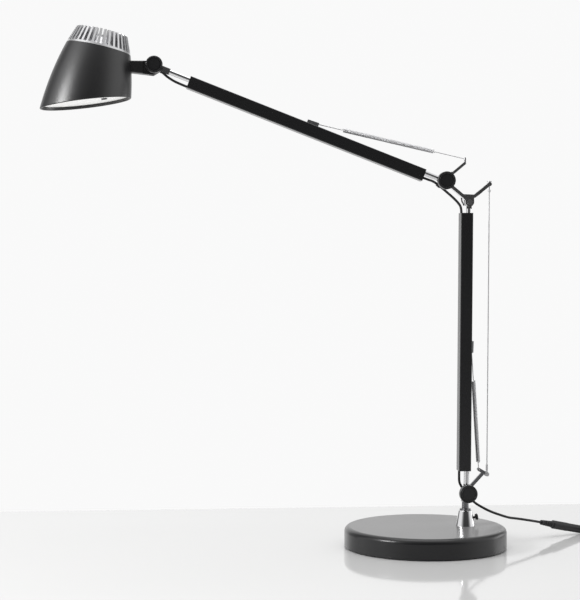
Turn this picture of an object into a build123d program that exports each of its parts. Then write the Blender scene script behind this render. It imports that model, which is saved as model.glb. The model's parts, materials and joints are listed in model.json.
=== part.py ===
from build123d import *
from math import asin, atan2, ceil, cos, degrees, hypot, pi, radians, sin, sqrt, tan
import os

# A spring-balanced LED task lamp in its working pose, in millimetres.
# Origin: centre of the base's underside. Z is up, +X points away from the lamp head,
# and the arms, springs and tie lie in the XZ plane, with the three knobs on the -Y side.

# ---- base ----
BASE_R = 110.0
BASE_TOP_Z = 28.2
BASE_SHOULDER_R = 7.0
COVER_WALL = 1.8
COVER_LIFT = 1.2
PAD_R = BASE_R - 6.0
PAD_H = 1.6
WEIGHT_R = BASE_R - 22.0
WEIGHT_BEVEL = 4.0
SEAT_GAP = 0.3

# ---- swivel pedestal ----
SWIVEL_X = BASE_R / 2
PEDESTAL_BOTTOM_R = 13.0
PEDESTAL_TOP_R = 9.0
PEDESTAL_TOP_Z = BASE_TOP_Z + 21.1
PEDESTAL_EDGE = 0.5
PEDESTAL_SPIGOT_R = 9.0
PEDESTAL_SPIGOT_Z = 8.0
NUT_R = 15.0
NUT_H = 5.0
NUT_SIDE_ROOM = 2.0
BUSH_R = 6.2
BUSH_BOTTOM_Z = 24.0
JOURNAL_R = 4.9
JOURNAL_BOTTOM_Z = 13.0
RUNNING_GAP = 0.05
FLANGE_R = 7.5
FLANGE_H = 2.0
FLANGE_EDGE = 0.6
STEM_R = 4.6
RETAINER_R = 6.9
RETAINER_H = 1.5
RETAINER_MOUTH = 3.0
RETAINER_GROOVE = 1.0
THUMB_Z = BASE_TOP_Z + 10.8
THUMB_SHANK_R = 1.6
THUMB_SHANK_OUT = 3.2
THUMB_HEAD_R = 4.1
THUMB_HEAD_T = 3.2
THUMB_EDGE_R = 0.5
THUMB_FLUTES = 16
THUMB_FLUTE_R = 0.5
THUMB_GAP = 0.1

# ---- pivots, as points (x, z) of the XZ plane ----
BASE_PIVOT = (SWIVEL_X + 1.5, PEDESTAL_TOP_Z + 24.0)
LOWER_LENGTH = 394.7
LOWER_LEAN = 0.36
ELBOW_REACH = (-33.3, 28.7)
UPPER_LENGTH = 420.1
UPPER_SLOPE = 21.1
TIE_REACH = (28.3, 24.6)
SPRING_REACH = (18.6, 30.2)
UPPER_SPRING_REACH = (-5.1, 59.0)

# ---- arms ----
ROD_R = 3.6
SLEEVE_W = 16.6
SLEEVE_D = 20.0
SLEEVE_WALL = 0.8
SLEEVE_CORNER_R = 1.4
SLEEVE_START = 30.0
LOWER_SLEEVE_END_GAP = 14.7
UPPER_SLEEVE_END_GAP = 50.6
ROD_WALL_GAP = 0.1
PLUG_T = 6.0
PLUG_INSET = 1.0
PLUG_GAP = 0.05
TONGUE_T = 5.0
SLOT_SIDE_GAP = 0.4
CHEEK_T = 4.0
BASE_EYE_R = 8.0
CLEVIS_EYE_R = 5.6
ELBOW_EYE_R = 7.0
HEAD_EYE_R = 5.4
EYE_NECK_GAP = 3.0
EYE_OVERLAP = 0.5
HEAD_TONGUE_LENGTH = 22.0
HEAD_TONGUE_W = 8.0
HUB_GAP = 1.3

# ---- bolts, pins, knobs ----
BOLT_R = 2.5
BOLT_FIT = 0.05
BOLT_HEAD_R = 4.6
BOLT_HEAD_T = 2.6
BOLT_HEAD_EDGE_R = 1.2
BOLT_OUT = 7.3
CLEVIS_PIN_R = 2.0
CLEVIS_HEAD_R = 3.6
CLEVIS_HEAD_T = 1.2
KNOB_R = 12.1
HEAD_KNOB_R = 11.3
KNOB_T = 9.5
KNOB_BOSS_R = 7.0
KNOB_BOSS_T = 2.0
KNOB_EDGE_R = 1.3
KNOB_GROOVE_R = 8.4
KNOB_GROOVE_W = 0.7
KNOB_GROOVE_DEPTH = 0.5
KNOB_GAP = 0.3
KNOB_BORE_DEPTH = 8.0

# ---- tie wire ----
TIE_WIRE_R = 0.75
TIE_EYE_R = 2.9
TIE_EYE_T = 4.8
TIE_TOP_EYE_R = 2.4
TIE_TOP_EYE_T = 2.8
TIE_PIN_R = 1.2
PIN_HEAD_OVER = 0.9
PIN_HEAD_T = 1.0
TIE_TOP_PIN_R = 0.9
TIE_PIN_OUT = 0.5
TIE_EYE_NECK_R = 1.2
FERRULE_R = 1.6
FERRULE_START = 5.0
FERRULE_END = 13.0
TIE_BALL_R = 2.1
TIE_BALL_DROP = 9.0
TIE_CAP_R = 3.4
TIE_CAP_T = 1.3
TIE_CAP_RISE = 4.4
TIE_CAP_EDGE_R = 0.5

# ---- levers and elbow bracket ----
LEVER_W = 4.4
LEVER_END = (TIE_REACH[0] - 4.0, TIE_REACH[1] + 1.6)
LEVER_EYE_R = 3.2
SPRING_LUG_R = 2.3
YOKE_DEPTH = 4.0
BRACKET_W = 4.4
BRACKET_HALF_T = 5.0
BRACKET_LEFT_BEND = (-9.0, 8.6)
BRACKET_RIGHT_BEND = (7.0, 8.0)
BRACKET_ARM_END = (ELBOW_REACH[0] + 4.0, ELBOW_REACH[1] - 3.4)
BRACKET_TIE_ROOT = (TIE_REACH[0] - 12.0, TIE_REACH[1] - 9.6)
CLEVIS_MARGIN = 0.4
CLEVIS_GUSSET = [(-CLEVIS_EYE_R, 2.0), (-CLEVIS_EYE_R, 7.0), (-12.0, 10.0)]
HUB_MARGIN = 0.8
TIE_ARM_HALF_T = 3.2
TIE_LUG_R = 2.8
TIE_SLOT_FOOT = (TIE_REACH[0] - 6.4, TIE_REACH[1] - 5.4)
TIE_SLOT_MARGIN = 1.0
SPRING_LEVER_FOOT = (ELBOW_REACH[0] + 1.0, ELBOW_REACH[1] + 2.0)
SPRING_LEVER_ROOT = (ELBOW_REACH[0] + 10.4, ELBOW_REACH[1] + 11.0)
SPRING_LEVER_W = 3.6
SPRING_LEVER_HALF_T = 2.2
SPRING_POST_R = 1.6
SPRING_POST_H = 7.2
SPRING_POST_OVER = 1.6
FINGER_BENDS = [(-10.4, 6.0), (-9.6, 1.0), (-6.6, -4.6)]
FINGER_W = 1.8
FINGER_HALF_T = 1.2

# ---- springs ----
WIRE_R = 0.6
SPRING_R = 2.4
LOWER_SPRING_Y = 9.0
LOWER_ANCHOR_S = 190.0
LOWER_COIL_START = 39.0
LOWER_COIL_END = 8.8
UPPER_ANCHOR_S = 187.0
UPPER_COIL_START = 34.0
UPPER_COIL_END = 42.5
LOWER_CURLS = 26
UPPER_CURLS = 30
SPRING_LEAD = 4.0
ANCHOR_L = 16.0
ANCHOR_H = 4.6
ANCHOR_W = 6.0
ANCHOR_TIP = 1.6
ANCHOR_EDGE_R = 0.8
UPPER_ANCHOR_RISE = 3.8
LOWER_ANCHOR_RISE = 2.6
LOWER_ANCHOR_Y = 6.0
SPRING_PIN_R = 1.0
SPRING_EYE_GAP = 0.3

# ---- lamp cable and lead ----
CABLE_R = 1.7
CABLE_BORE_GAP = 0.2
CABLE_X = -9.4
UPPER_FOOT_CABLE_X = -6.2
CABLE_Y = 4.0
CABLE_OUT = 1.0
CORD_END_GAP = 0.05
POST_R = 4.5
POST_TURN = 34.0
POST_CABLE_Y = 14.4
POST_END = 3.4
POST_EDGE_R = 1.0
POST_SOCKET = 3.0
BASE_LOOP = (BASE_PIVOT[0] - 8.2, 9.0, BASE_PIVOT[1] + 14.3)
BASE_LOOP_RUNS = (8.0, 10.0)
ELBOW_LOOP_REACHES = [(-14.68, 4.9, 0.61), (-21.78, 6.6, 7.81)]
ELBOW_LOWER_RUNS = (7.0, 9.0)
ELBOW_UPPER_RUNS = (8.0, 7.5)
HEAD_LOOP_REACH = (24.05, 4.8, -18.33)
HEAD_LOOP_RUNS = (9.0, 7.0)
HEAD_LOOP_IN = 5.0
SADDLE_REACH = (-6.4, -5.4)
SADDLE_TURN = -51.0
SADDLE_WALL = 0.8
SADDLE_L = 6.0
SADDLE_EDGE_R = 1.2

# ---- head ----
SHADE_TILT = 11.97
SHADE_REACH = (-73.146, 21.473)
SHADE_TOP_R = 43.1
SHADE_MID_R = 54.2
SHADE_MOUTH_R = 59.5
SHADE_DEPTH = 94.0
SHADE_SHORT_R = 55.7
SHADE_SHORT_DEPTH = 53.7
SHADE_WALL = 2.0
LIP_RECESS = 3.4
DIFFUSER_T = 2.0
DIFFUSER_LEDGE = 2.2
DIFFUSER_LEDGE_T = 1.6
SINK_RING_T = 2.6
SINK_H = 23.2
SINK_TOP_R = 34.3
FIN_COUNT = 36
FIN_T = 2.9
FIN_FOOT_IN_R = 22.0
FIN_TOP_IN_R = 27.0
SINK_CORE_R = 37.5
SINK_CORE_TOP_R = 23.0
SINK_CORE_H = 11.0
SINK_CORE_DISH = 8.0
SINK_BOSS_R = 34.0
SINK_BOSS_T = 4.0
BOARD_R = 27.0
BOARD_T = 1.6
SINK_DISH_RIM = 3.0
SINK_FIN_ROOT = 0.4
LED_SIZE = 3.0
LED_T = 0.8
LED_RING_R = 17.0
LED_COUNT = 12
REFLECTOR_TOP_R = 29.0
REFLECTOR_BOTTOM_R = 50.5
REFLECTOR_T = 1.0
SWITCH_ALONG = 24.91
SWITCH_R = 4.0
SWITCH_OUT = 1.6
SWITCH_EDGE_R = 0.6
SWITCH_TRAVEL_ROOM = 2.0
SWITCH_BODY_R = 7.0
SWITCH_BODY_T = 7.0
SWITCH_ROOM = 1.0
SWITCH_STEM_IN = 0.6
NECK_TOP = 5.8
NECK_ROOT = 36.0
NECK_ROOT_Z = -9.2
NECK_NOSE = [(3.6, NECK_TOP), (11.0, -0.8), (11.6, -5.4), (-0.6, -13.0)]
NECK_HALF_T = 8.5
NECK_STEP = 8.0
NECK_FILLET = 2.6
NECK_EDGE_R = 1.6
GLAND_R = 2.4
GLAND_OUT = 2.2
GLAND_IN = 6.0
GLAND_REACH = (9.4, -6.4)
GLAND_Y = 5.6
GLAND_TURN = 135.0
CABLE_HOLE_GAP = 0.4
CABLE_HOLE_DROP = 3.6
CABLE_HOLE_L = 60.0
MOUTH_TILT = degrees(atan2(SHADE_DEPTH - SHADE_SHORT_DEPTH, SHADE_SHORT_R + SHADE_MOUTH_R))

# ---- lead and power adapter ----
LEAD_DROP_REACH = [(16.4, 15.2, 28.2), (29.6, 17.6, 20.2), (44.6, 22.4, 12.8)]
LEAD_DROP = [(SWIVEL_X + x, y, BASE_TOP_Z + z) for x, y, z in LEAD_DROP_REACH]
LEAD_SPLIT_REACH = (6.0, 28.4, 7.0)
LEAD_SPLIT = (BASE_R + LEAD_SPLIT_REACH[0], LEAD_SPLIT_REACH[1], BASE_TOP_Z + LEAD_SPLIT_REACH[2])
LEAD_POST_RUN = 9.0
LEAD_SPLIT_RUN = 8.0
PLUG_RUN = 9.0
JACK_RUN = 7.0
LEAD_ON_REACH = [(24.0, 35.6, 31.0), (42.6, 43.6, 27.0)]
LEAD_ON = [(BASE_R + x, y, z) for x, y, z in LEAD_ON_REACH]
PLUG_REACH = 64.0
PLUG_SIDE = 54.5
PLUG_Z = 21.9
PLUG_START = (BASE_R + PLUG_REACH, PLUG_SIDE, PLUG_Z)
PLUG_AXIS = (0.884, 0.412, -0.216)
BOOT_L = 20.0
BOOT_START_R = 3.4
BOOT_END_R = 4.5
BOOT_RIBS = 5
BOOT_RIB_PITCH = 3.0
BOOT_RIB_DEPTH = 0.3
PLUG_BODY_L = 27.0
PLUG_BODY_R = 5.9
PLUG_EDGE = 1.2
JACK_BODY_L = 26.0
JACK_BODY_R = 5.6
JACK_EDGE_R = 1.6
JACK_TAIL_L = 12.0
JACK_TAIL_START_R = 3.4
JACK_TAIL_R = 2.7
COIL_REACH = 182.0
COIL_CENTRE_X = BASE_R + COIL_REACH
COIL_START_Y = 99.0
COIL_OUTER_R = 25.0
COIL_PITCH = 3.9
COIL_LANDING = [(-24.4, -2.0), (-12.0, 0.0), (0.0, 0.0)]
COIL_LAYERS = 4
COIL_HALF_TURNS = 6
FLOOR_GAP = 0.9
COIL_TAIL = 34.0
TIE_BAND_W = 5.0
TIE_BAND_T = 0.6
TIE_BAND_GAP = 0.2
TIE_BAND_EDGE_R = 0.3
ADAPTER_L = 62.0
ADAPTER_W = 44.0
ADAPTER_H = 27.0
ADAPTER_EDGE_R = 3.0
ADAPTER_BOOT_L = 9.0
ADAPTER_BOOT_R = 3.2
PIN_R = 2.0
PIN_L = 19.0
PIN_TIP_R = 1.2
PIN_SPACING = 19.0

FAR = 400.0
UPWARDS = (Align.CENTER, Align.CENTER, Align.MIN)
DOWNWARDS = (Align.CENTER, Align.CENTER, Align.MAX)

slot_half = TONGUE_T / 2 + SLOT_SIDE_GAP
cheek_out = slot_half + CHEEK_T
sleeve_x = -(SLEEVE_W / 2 - SLEEVE_WALL - ROD_R - ROD_WALL_GAP)
sleeve_top_x = sleeve_x + SLEEVE_W / 2
cable_bore_r = CABLE_R + CABLE_BORE_GAP
saddle_y = cheek_out + cable_bore_r + SADDLE_WALL


def step_from(point, angle, length):
    """The point at length from point, at angle degrees from +Z towards +X."""
    return (point[0] + length * sin(radians(angle)), point[1] + length * cos(radians(angle)))


def offset_from(point, reach):
    return (point[0] + reach[0], point[1] + reach[1])


clevis_pivot = step_from(BASE_PIVOT, LOWER_LEAN, LOWER_LENGTH)
elbow_pivot = offset_from(clevis_pivot, ELBOW_REACH)
upper_angle = UPPER_SLOPE - 90
head_pivot = step_from(elbow_pivot, upper_angle, UPPER_LENGTH)
tie_foot = offset_from(BASE_PIVOT, TIE_REACH)
tie_head = offset_from(clevis_pivot, TIE_REACH)
spring_foot = offset_from(BASE_PIVOT, SPRING_REACH)
spring_head = offset_from(clevis_pivot, UPPER_SPRING_REACH)
shade_origin = offset_from(head_pivot, SHADE_REACH)
coil_floor = CABLE_R + FLOOR_GAP


def frame_at(point, angle=0.0):
    """A frame in the XZ plane whose local Z leans angle degrees towards +X."""
    return Pos(point[0], 0, point[1]) * Rot(0, angle, 0)


def world(frame, x, y, z):
    return (frame * Pos(x, y, z)).position


def rod_y(radius, y_from, y_to, x=0.0, z=0.0):
    return Pos(x, (y_from + y_to) / 2, z) * Rot(90, 0, 0) * Cylinder(radius, y_to - y_from)


def plate(sketch, y_from, y_to):
    """A sketch drawn in (x, z), made solid between two Y values."""
    return extrude(Plane.XZ.offset(-y_to) * sketch, amount=y_to - y_from, dir=(0, -1, 0))


def bar(start, end, width):
    along = (end[0] - start[0], end[1] - start[1])
    middle = Pos((start[0] + end[0]) / 2, (start[1] + end[1]) / 2)
    return middle * Rot(0, 0, degrees(atan2(along[1], along[0]))) * Rectangle(hypot(*along), width)


def save(shape, name):
    export_step(shape, f"parts/{name}.step")


# ---------------------------------------------------------------- tubes along a route


def joined_arcs(start, start_way, end, end_way):
    """Two arcs, tangent to each other and to the two ways, or a line where all is straight."""
    gap = end - start
    ways = start_way + end_way
    square = 4 - ways.dot(ways)
    if square < 1e-9:
        reach = gap.dot(gap) / (2 * gap.dot(ways))
    else:
        half = gap.dot(ways)
        reach = (-half + sqrt(half * half + square * gap.dot(gap))) / square
    first = start + start_way * reach
    last = end - end_way * reach
    middle = (first + last) * 0.5
    middle_way = (last - first).normalized()
    if (middle - start).normalized().cross(start_way).length < 1e-6:
        return [Edge.make_line(start, end)]
    return [
        Edge.make_tangent_arc(start, start_way, middle),
        Edge.make_tangent_arc(middle, middle_way, end),
    ]


def swept(edges, radius):
    path = Wire(edges)
    section = Plane(origin=path @ 0, z_dir=path % 0) * Circle(radius)
    return sweep(section, path=path)


def report_tube(name, solid, length, radius, radii):
    share = solid.volume / (pi * radius * radius * length)
    print(name, "length", round(length, 1), "volume share", round(share, 4),
          "least radius", round(min(radii), 1) if radii else "straight")


def cord(name, points, radius=CABLE_R):
    """A round cord on straight runs joined by tangent arcs, each as large as its runs allow."""
    stops = [Vector(*point) for point in points]
    here = stops[0]
    edges = []
    radii = []
    for before, corner, after in zip(stops, stops[1:], stops[2:]):
        run_in = (corner - before).length
        run_out = (after - corner).length
        way_in = (corner - before).normalized()
        way_out = (after - corner).normalized()
        setback = 0.45 * min(run_in, run_out)
        half_turn = radians(way_in.get_angle(way_out)) / 2
        radii.append(setback / tan(half_turn))
        arc_start = corner - way_in * setback
        arc_end = corner + way_out * setback
        edges.append(Edge.make_line(here, arc_start))
        edges.append(Edge.make_tangent_arc(arc_start, way_in, arc_end))
        here = arc_end
    edges.append(Edge.make_line(here, stops[-1]))
    solid = swept(edges, radius)
    report_tube(name, solid, sum(edge.length for edge in edges), radius, radii)
    return solid


def least_self_gap(edges, radius, apart, samples=10):
    """The least room between stretches of one tube that lie more than apart along it."""
    points = []
    along = 0.0
    for edge in edges:
        count = max(2, ceil(samples * edge.length / (2 * pi * radius)))
        for index in range(count):
            points.append((along + edge.length * index / count, edge @ (index / count)))
        along += edge.length
    least = 1e9
    for index, (s_one, one) in enumerate(points):
        for s_two, two in points[index + 1:]:
            if apart < s_two - s_one < 6 * apart:
                least = min(least, (one - two).length)
    return least - 2 * radius


def spring(name, start, end, coil_from, coil_to, curls):
    """A wire from start to end, wound round that line between two distances from start."""
    axis = (end - start).normalized()
    side = axis.cross(Vector(0, 1, 0)).normalized()
    other = axis.cross(side)
    pitch = (coil_to - coil_from) / curls
    slope = pitch / (2 * pi)
    knots = [(start, axis), (start + axis * (coil_from - SPRING_LEAD), axis)]
    for half in range(2 * curls + 1):
        turn = pi * half
        radial = side * cos(turn) + other * sin(turn)
        tangent = other * cos(turn) - side * sin(turn)
        place = start + axis * (coil_from + pitch * half / 2) + radial * SPRING_R
        knots.append((place, (tangent * SPRING_R + axis * slope).normalized()))
    knots.append((start + axis * (coil_to + SPRING_LEAD), axis))
    knots.append((end, axis))
    edges = []
    for (one, one_way), (two, two_way) in zip(knots, knots[1:]):
        edges += joined_arcs(one, one_way, two, two_way)
    solid = swept(edges, WIRE_R)
    length = sum(edge.length for edge in edges)
    report_tube(name, solid, length, WIRE_R, [])
    print(name, "least self-gap", round(least_self_gap(edges, WIRE_R, pi * SPRING_R), 2))
    return solid


# ---------------------------------------------------------------- base and swivel


def base_cover():
    outer_h = BASE_TOP_Z - COVER_LIFT
    outer = Pos(0, 0, COVER_LIFT) * Cylinder(BASE_R, outer_h, align=UPWARDS)
    outer = fillet(outer.edges().group_by(Axis.Z)[-1], BASE_SHOULDER_R)
    inner_h = outer_h - COVER_WALL
    inner = Pos(0, 0, COVER_LIFT) * Cylinder(BASE_R - COVER_WALL, inner_h, align=UPWARDS)
    inner = fillet(inner.edges().group_by(Axis.Z)[-1], BASE_SHOULDER_R - COVER_WALL)
    hole = Pos(SWIVEL_X, 0, BASE_TOP_Z) * Cylinder(PEDESTAL_SPIGOT_R + SEAT_GAP, 4 * COVER_WALL)
    return outer - inner - hole


def base_weight():
    height = BASE_TOP_Z - COVER_WALL - PAD_H
    body = Pos(0, 0, PAD_H) * Cylinder(WEIGHT_R, height, align=UPWARDS)
    body = chamfer(body.edges().group_by(Axis.Z)[-1], WEIGHT_BEVEL)
    spigot_hole = Pos(SWIVEL_X, 0, 0) * Cylinder(PEDESTAL_SPIGOT_R + SEAT_GAP, 4 * BASE_TOP_Z)
    nut_room_top = PEDESTAL_SPIGOT_Z + NUT_H
    nut_room = Pos(SWIVEL_X, 0, nut_room_top) * Cylinder(
        NUT_R + NUT_SIDE_ROOM, nut_room_top, align=DOWNWARDS)
    return body - spigot_hole - nut_room


def base_pad():
    return Cylinder(PAD_R, PAD_H, align=UPWARDS)


def thumb_frame():
    """The thumbscrew's frame: local Z points outwards, square to the pedestal's flank."""
    flank = degrees(atan2(PEDESTAL_BOTTOM_R - PEDESTAL_TOP_R, PEDESTAL_TOP_Z - BASE_TOP_Z))
    share = (THUMB_Z - BASE_TOP_Z) / (PEDESTAL_TOP_Z - BASE_TOP_Z)
    flank_r = PEDESTAL_BOTTOM_R + (PEDESTAL_TOP_R - PEDESTAL_BOTTOM_R) * share
    return Pos(SWIVEL_X + flank_r, 0, THUMB_Z) * Rot(0, 90 - flank, 0)


def thumb_bore():
    """The thumbscrew's hole, on its own side of the swivel axis only."""
    bore = thumb_frame() * Cylinder(THUMB_SHANK_R + THUMB_GAP, 2 * PEDESTAL_TOP_R)
    return bore & Pos(SWIVEL_X, 0, 0) * Box(FAR, FAR, FAR, align=(Align.MIN, Align.CENTER, Align.CENTER))


def pedestal():
    cone = Pos(SWIVEL_X, 0, BASE_TOP_Z) * Cone(
        PEDESTAL_BOTTOM_R, PEDESTAL_TOP_R, PEDESTAL_TOP_Z - BASE_TOP_Z,
        align=UPWARDS)
    cone = chamfer(cone.edges().group_by(Axis.Z)[-1], PEDESTAL_EDGE)
    spigot = Pos(SWIVEL_X, 0, BASE_TOP_Z) * Cylinder(
        PEDESTAL_SPIGOT_R, BASE_TOP_Z - PEDESTAL_SPIGOT_Z, align=DOWNWARDS)
    bore = Pos(SWIVEL_X, 0, BUSH_BOTTOM_Z) * Cylinder(BUSH_R, PEDESTAL_TOP_Z, align=UPWARDS)
    retainer_top = JOURNAL_BOTTOM_Z + RETAINER_GROOVE + RETAINER_H + 2 * SEAT_GAP
    lower_room = Pos(SWIVEL_X, 0, 0) * Cylinder(RETAINER_R + SEAT_GAP, retainer_top, align=UPWARDS)
    middle = Pos(SWIVEL_X, 0, 0) * Cylinder(JOURNAL_R + SEAT_GAP, BASE_TOP_Z, align=UPWARDS)
    return cone + spigot - bore - lower_room - middle - thumb_bore()


def pedestal_nut():
    body = extrude(Plane.XY.offset(PEDESTAL_SPIGOT_Z) * Pos(SWIVEL_X, 0) * RegularPolygon(NUT_R, 6), NUT_H)
    return body - Pos(SWIVEL_X, 0, 0) * Cylinder(PEDESTAL_SPIGOT_R, 4 * BASE_TOP_Z)


def swivel_bush():
    length = PEDESTAL_TOP_Z - BUSH_BOTTOM_Z
    tube = Cylinder(BUSH_R, length, align=UPWARDS) - Cylinder(
        JOURNAL_R + RUNNING_GAP, length, align=UPWARDS)
    return Pos(SWIVEL_X, 0, BUSH_BOTTOM_Z) * tube - thumb_bore()


def thumbscrew():
    frame = thumb_frame()
    flank_out = frame.position.X - SWIVEL_X
    inside = flank_out - JOURNAL_R - SEAT_GAP
    shank = Pos(0, 0, -inside) * Cylinder(
        THUMB_SHANK_R, inside + THUMB_SHANK_OUT, align=UPWARDS)
    head = Pos(0, 0, THUMB_SHANK_OUT) * Cylinder(
        THUMB_HEAD_R, THUMB_HEAD_T, align=UPWARDS)
    ends = head.edges().group_by(Axis.Z)
    head = fillet(ends[-1] + ends[0], THUMB_EDGE_R)
    flute = Pos(THUMB_HEAD_R + THUMB_FLUTE_R / 2, 0, THUMB_SHANK_OUT + THUMB_HEAD_T / 2) * Cylinder(
        THUMB_FLUTE_R, 2 * THUMB_HEAD_T)
    flutes = [Rot(0, 0, 360 * index / THUMB_FLUTES) * flute for index in range(THUMB_FLUTES)]
    return frame * (shank + head - flutes)


# ---------------------------------------------------------------- stem with its lever


def stem():
    flange_z = PEDESTAL_TOP_Z + SEAT_GAP
    journal_h = flange_z - JOURNAL_BOTTOM_Z
    journal = Pos(SWIVEL_X, 0, JOURNAL_BOTTOM_Z) * Cylinder(JOURNAL_R, journal_h, align=UPWARDS)
    groove = Pos(SWIVEL_X, 0, JOURNAL_BOTTOM_Z + RETAINER_GROOVE) * retainer_ring(RETAINER_R)
    flange = Pos(SWIVEL_X, 0, flange_z) * Cylinder(FLANGE_R, FLANGE_H, align=UPWARDS)
    flange = chamfer(flange.edges().group_by(Axis.Z)[-1], FLANGE_EDGE)
    hub_r = BASE_EYE_R + HUB_GAP
    neck_z = flange_z + FLANGE_H
    neck_h = BASE_PIVOT[1] - hub_r - neck_z
    neck = Pos(SWIVEL_X, 0, neck_z) * Cylinder(STEM_R, neck_h, align=UPWARDS)
    frame = frame_at(BASE_PIVOT)
    yoke_foot = (SWIVEL_X - BASE_PIVOT[0], -hub_r - YOKE_DEPTH)
    block = plate(bar(yoke_foot, (0, -YOKE_DEPTH), 2 * STEM_R), -cheek_out, cheek_out)
    cheeks = rod_y(BASE_EYE_R, -cheek_out, cheek_out)
    slot = rod_y(hub_r, -slot_half, slot_half)
    lever = bar((0, 0), LEVER_END, LEVER_W) + bar(SPRING_REACH, TIE_REACH, LEVER_W)
    lever += Pos(*TIE_REACH) * Circle(LEVER_EYE_R) + Pos(*SPRING_REACH) * Circle(SPRING_LUG_R)
    lever_plate = plate(lever, slot_half, cheek_out)
    body = block + cheeks - slot + lever_plate
    body -= rod_y(BOLT_R + BOLT_FIT, -2 * cheek_out, 2 * cheek_out)
    body -= rod_y(TIE_PIN_R, 0, 2 * cheek_out, *TIE_REACH)
    body -= rod_y(SPRING_PIN_R, 0, 2 * cheek_out, *SPRING_REACH)
    return frame * body + journal + flange + neck - groove


def retainer_ring(outer_r):
    return Cylinder(outer_r, RETAINER_H, align=UPWARDS) - Cylinder(
        JOURNAL_R - RETAINER_GROOVE, RETAINER_H, align=UPWARDS)


def stem_retainer():
    mouth = Pos(RETAINER_R, 0, 0) * Box(2 * RETAINER_R, RETAINER_MOUTH, 4 * RETAINER_H)
    foot = Pos(SWIVEL_X, 0, JOURNAL_BOTTOM_Z + RETAINER_GROOVE)
    return foot * (retainer_ring(RETAINER_R) - mouth)


def tie_foot_pin():
    start = -TIE_EYE_T / 2 - SEAT_GAP
    pin = rod_y(TIE_PIN_R, start, cheek_out)
    head = rod_y(TIE_PIN_R + PIN_HEAD_OVER, start - PIN_HEAD_T, start)
    return frame_at(tie_foot) * (pin + head)


def spring_foot_pin():
    end = LOWER_SPRING_Y + SPRING_R
    pin = rod_y(SPRING_PIN_R, slot_half, end)
    head = rod_y(SPRING_PIN_R + PIN_HEAD_OVER, end, end + PIN_HEAD_T)
    return frame_at(spring_foot) * (pin + head)


def bolt(front, rear, head):
    shank = rod_y(BOLT_R, front, rear)
    if not head:
        return shank
    cap = rod_y(BOLT_HEAD_R, rear, rear + BOLT_HEAD_T)
    return shank + fillet(cap.edges().group_by(Axis.Y)[-1], BOLT_HEAD_EDGE_R)


def cable_post():
    end = POST_CABLE_Y + POST_END
    post = rod_y(POST_R, cheek_out, end)
    post = fillet(post.edges().group_by(Axis.Y)[-1], POST_EDGE_R)
    socket = rod_y(BOLT_R, cheek_out, cheek_out + POST_SOCKET)
    cross = Pos(0, POST_CABLE_Y, 0) * Rot(0, -POST_TURN, 0) * Cylinder(cable_bore_r, 4 * POST_R)
    return frame_at(BASE_PIVOT) * (post - socket - cross)


# ---------------------------------------------------------------- arms


def rod(length, foot_eye_r, top_eye_r, foot_neck, top_neck, foot_hole_r, top_hole_r, top_width):
    """A round rod between two flattened eyes, in the arm's own frame."""
    shank = Pos(0, 0, foot_neck) * Cylinder(ROD_R, length - foot_neck - top_neck, align=UPWARDS)
    foot_end = (0, foot_neck + EYE_OVERLAP)
    top_start = (0, length - top_neck - EYE_OVERLAP)
    foot = Circle(foot_eye_r) + bar((0, 0), foot_end, 2 * ROD_R)
    top = Pos(0, length) * Circle(top_eye_r) + bar(top_start, (0, length), top_width)
    body = shank + plate(foot, -TONGUE_T / 2, TONGUE_T / 2) + plate(top, -TONGUE_T / 2, TONGUE_T / 2)
    body -= rod_y(foot_hole_r, -TONGUE_T, TONGUE_T)
    return body - rod_y(top_hole_r, -TONGUE_T, TONGUE_T, 0, length)


def sleeve_section(inset, corner_r):
    return RectangleRounded(SLEEVE_W - 2 * inset, SLEEVE_D - 2 * inset, corner_r)


def sleeve(start, end):
    wall = sleeve_section(0, SLEEVE_CORNER_R) - sleeve_section(SLEEVE_WALL, SLEEVE_CORNER_R - SLEEVE_WALL)
    return extrude(Plane.XY.offset(start) * Pos(sleeve_x, 0) * wall, end - start)


def sleeve_plug(start, cable_x):
    """A plug from start upwards that holds rod and cable in the sleeve."""
    outer = sleeve_section(SLEEVE_WALL + PLUG_GAP, SLEEVE_CORNER_R - SLEEVE_WALL)
    holes = Circle(ROD_R) + Pos(cable_x, CABLE_Y) * Circle(cable_bore_r)
    return extrude(Plane.XY.offset(start) * (Pos(sleeve_x, 0) * outer - holes), PLUG_T)


def sleeve_cable(start, end, foot_x):
    """The cable's stretch inside a sleeve, from foot_x at one end to CABLE_X at the other."""
    foot = Vector(foot_x, CABLE_Y, start - CABLE_OUT + CORD_END_GAP)
    head = Vector(CABLE_X, CABLE_Y, end + CABLE_OUT - CORD_END_GAP)
    return swept([Edge.make_line(foot, head)], CABLE_R)


def spring_anchor(foot, y, rise):
    """A riveted lug on the sleeve's spring side. The spring's wire ends on its foot end."""
    shape = Polygon((0, 0), (rise + ANCHOR_TIP, 0), (ANCHOR_H, ANCHOR_L), (0, ANCHOR_L), align=None)
    shape = fillet(shape.vertices().sort_by(Axis.X)[-2:], ANCHOR_EDGE_R)
    lug = plate(shape, y - ANCHOR_W / 2, y + ANCHOR_W / 2)
    return Pos(sleeve_top_x, 0, foot) * lug


def lower_frame():
    return frame_at(BASE_PIVOT, LOWER_LEAN)


def upper_frame():
    return frame_at(elbow_pivot, upper_angle)


# ---------------------------------------------------------------- tie wire


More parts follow.
